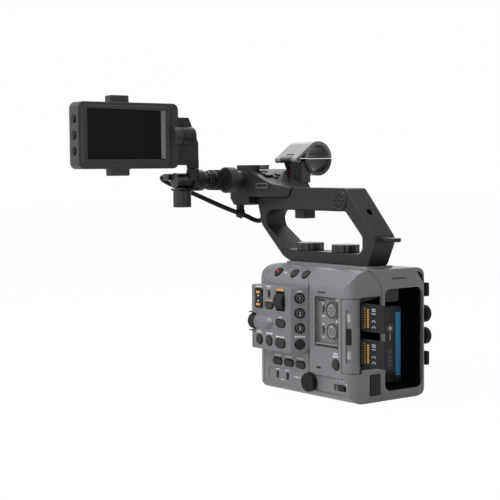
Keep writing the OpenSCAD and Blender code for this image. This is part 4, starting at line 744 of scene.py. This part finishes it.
# The two record keys' red marks, and the white bars beside the casing's one
recLook = {"size": (3.6, 2.0), "corner": 0.5, "handleRadius": 1.5}
marks("recMark", "markRed", "rec_button", [
    bar("edge", tuple(keyFront("rec_button", outward("edge")) / mm), recLook["size"],
        round=recLook["corner"])])
marks("edgeMarks", "markWhite", "casing", [
    legend("edge", (-40.6, 30.2, 110.1), 5.0, 0.9, 3),
    legend("edge", (-41.7, 30.2, 109.0), 3.0, 0.7, 1)])
marks("handleRecMark", "markRed", "handle_rec_button", [
    disc("deck", tuple(keyFront("handle_rec_button", outward("deck")) / mm), recLook["handleRadius"])])

# The door's bright groove above and below its slider, clear of the slider's travel
groove = {"at": (-42.9, -59.15), "heights": (75.6, 43.2), "size": (2.8, 7.0), "corner": 0.5, "proud": 0.25}
marks("doorGroove", "brushed", "media_door", [
    bar("groove", (*groove["at"], z), groove["size"], round=groove["corner"], proud=groove["proud"])
    for z in groove["heights"]])

# Dark slits in the wall and the microphone lid, outlines of the lever and on the handle's head
trim = {
    "wallSlit": (wall, -22.4, 28.9), "wallSlitSize": (5.0, 1.7), "wallSlitCorner": 0.8,
    "wallSlitProud": 0.05, "lidSlot": (14.97, 91.4, 218.7), "lidSlotSize": (11.5, 1.6),
    "lidSlotProud": 0.1, "lever": (-17.6, -65.25, 19.6), "leverSize": (8.4, 4.2), "leverLine": 0.5,
    "lozenge": (-22.0, 89.5, 189.0), "lozengeSize": (19.0, 5.0), "lozengeLine": 0.9,
    "lozengeProud": 0.25,
}
marks("wallSlit", "grooveDark", "casing", [
    bar("left", trim["wallSlit"], trim["wallSlitSize"], round=trim["wallSlitCorner"],
        proud=trim["wallSlitProud"])])
marks("lidSlot", "grooveDark", "mic_lid", [
    bar("lid", trim["lidSlot"], trim["lidSlotSize"], proud=trim["lidSlotProud"])])
marks("leverOutline", "keyGrey", "release_lever", [
    ring("rear", trim["lever"], trim["leverSize"], trim["leverSize"][1] / 2, trim["leverLine"])])
marks("headLozenge", "dialGrey", "casing", [
    ring("left", trim["lozenge"], trim["lozengeSize"], trim["lozengeSize"][1] / 2,
         trim["lozengeLine"], proud=trim["lozengeProud"])])

# Monitor: a paler slab on the bevel beside the glass, a painted highlight where the bevel is lit, and the
# dark step round the front plate
monitor = {
    "bevel": [(-112.5, 125.75, 215.6), (-108.9, 123.6, 215.6), (-108.9, 123.6, 260.2),
              (-112.5, 125.75, 260.2)],
    "bevelOut": (-0.1, -0.15, 0), "plate": 123.4, "plateWithin": 0.05, "step": 125.0,
    "stepOver": 1.2, "stepCorner": 3.4, "stepLine": 0.9, "stepProud": 0.05,
}


# A thin pale slab laid over the monitor's bevel: painted highlight
def addBevelHighlight(spec):
    bm = bmesh.new()
    low = [bm.verts.new(Vector(c) * mm) for c in spec["bevel"]]
    high = [bm.verts.new((Vector(c) + Vector(spec["bevelOut"])) * mm) for c in spec["bevel"]]
    closeSlab(bm, low, high)
    piece("monitorBevelHighlight", bm, "paintedBevelHighlight", "monitor", flip=True)


def addStep(spec):
    plate = [v.co / mm for v in frame["nodes"]["monitor_case"].data.vertices
             if abs(v.co.y / mm - spec["plate"]) < spec["plateWithin"]]
    left, right = min(p.x for p in plate), max(p.x for p in plate)
    low, high = min(p.z for p in plate), max(p.z for p in plate)
    marks("monitorStep", "grooveDark", "monitor", [
        ring("rear", ((left + right) / 2, spec["step"], (low + high) / 2),
             (right - left + spec["stepOver"], high - low + spec["stepOver"]), spec["stepCorner"],
             spec["stepLine"], proud=spec["stepProud"])])


addBevelHighlight(monitor)
addStep(monitor)
print("marks laid")

# Soft studio lamps: places and sizes in metres, power in watts
lampLooks = {
    "keyLamp": {"place": (-1.0, 0.35, 1.05), "aim": (-0.02, 0.0, 0.08), "size": 0.6, "power": 17},
    "topLamp": {"place": (-0.15, 0.10, 1.4), "aim": (-0.02, 0.03, 0.1), "size": 0.5, "power": 9},
    "sideLamp": {"place": (-1.3, -0.1, 0.35), "aim": (-0.04, 0.03, 0.1), "size": 0.6, "power": 1.5},
    "rearLamp": {"place": (0.35, -1.2, 0.5), "aim": (0.0, 0.0, 0.08), "size": 0.7, "power": 1.0},
    "farLamp": {"place": (0.6, 0.9, 0.9), "aim": (-0.02, 0.05, 0.15), "size": 0.8, "power": 5},
}
# The world's light on the object, and what is seen of the world
skyLook = {"ambient": 0.20, "seen": 1.0, "colour": (1, 1, 1, 1)}
# A pale floor just under the object, which glows only where it is seen directly
floorLook = {
    "size": 6, "below": 0.0006, "colour": (0.9, 0.9, 0.9, 1), "rough": 0.9,
    "glow": (1, 1, 1, 1), "glowShare": 0.985,
}


def hangLamp(name, spec):
    data = bpy.data.lights.new(name, "AREA")
    data.size, data.energy = spec["size"], spec["power"]
    lamp = bpy.data.objects.new(name, data)
    scene.collection.objects.link(lamp)
    place = Vector(spec["place"])
    aimed = (Vector(spec["aim"]) - place).to_track_quat("-Z", "Y").to_matrix().to_4x4()
    lamp.matrix_world = Matrix.Translation(place) @ aimed


def setWorld(spec):
    world = bpy.data.worlds.new("studio")
    scene.world = world
    world.use_nodes = True
    sky = Graph(world.node_tree)
    back = sky.tree.nodes["Background"]
    sky.plug(back.inputs["Color"], spec["colour"])
    sky.plug(back.inputs["Strength"], sky.node("ShaderNodeMapRange", inputs={
        "Value": sky.seenDirectly(), "To Min": spec["ambient"], "To Max": spec["seen"]}))


def layFloor(spec):
    bm = bmesh.new()
    bmesh.ops.create_grid(bm, x_segments=1, y_segments=1, size=spec["size"])
    bmesh.ops.translate(bm, verts=bm.verts, vec=(0, 0, -spec["below"]))
    mesh = bpy.data.meshes.new("floor")
    bm.to_mesh(mesh)
    bm.free()
    floor = bpy.data.objects.new("floor", mesh)
    scene.collection.objects.link(floor)
    f = Finish("paleFloor")
    f.feed("Base Color", spec["colour"])
    f.feed("Roughness", spec["rough"])
    glow = f.node("ShaderNodeEmission", inputs={"Color": spec["glow"], "Strength": 1.0})
    share = f.seenDirectly() * spec["glowShare"]
    mixed = f.node("ShaderNodeMixShader", inputs={0: share, 1: Sock(f, f.skin.outputs[0]), 2: glow})
    f.plug(f.tree.nodes["Material Output"].inputs["Surface"], mixed)
    mesh.materials.append(f.material)


for name, spec in lampLooks.items():
    hangLamp(name, spec)
setWorld(skyLook)
layFloor(floorLook)
scene.view_settings.view_transform = "Standard"
print("stage set")
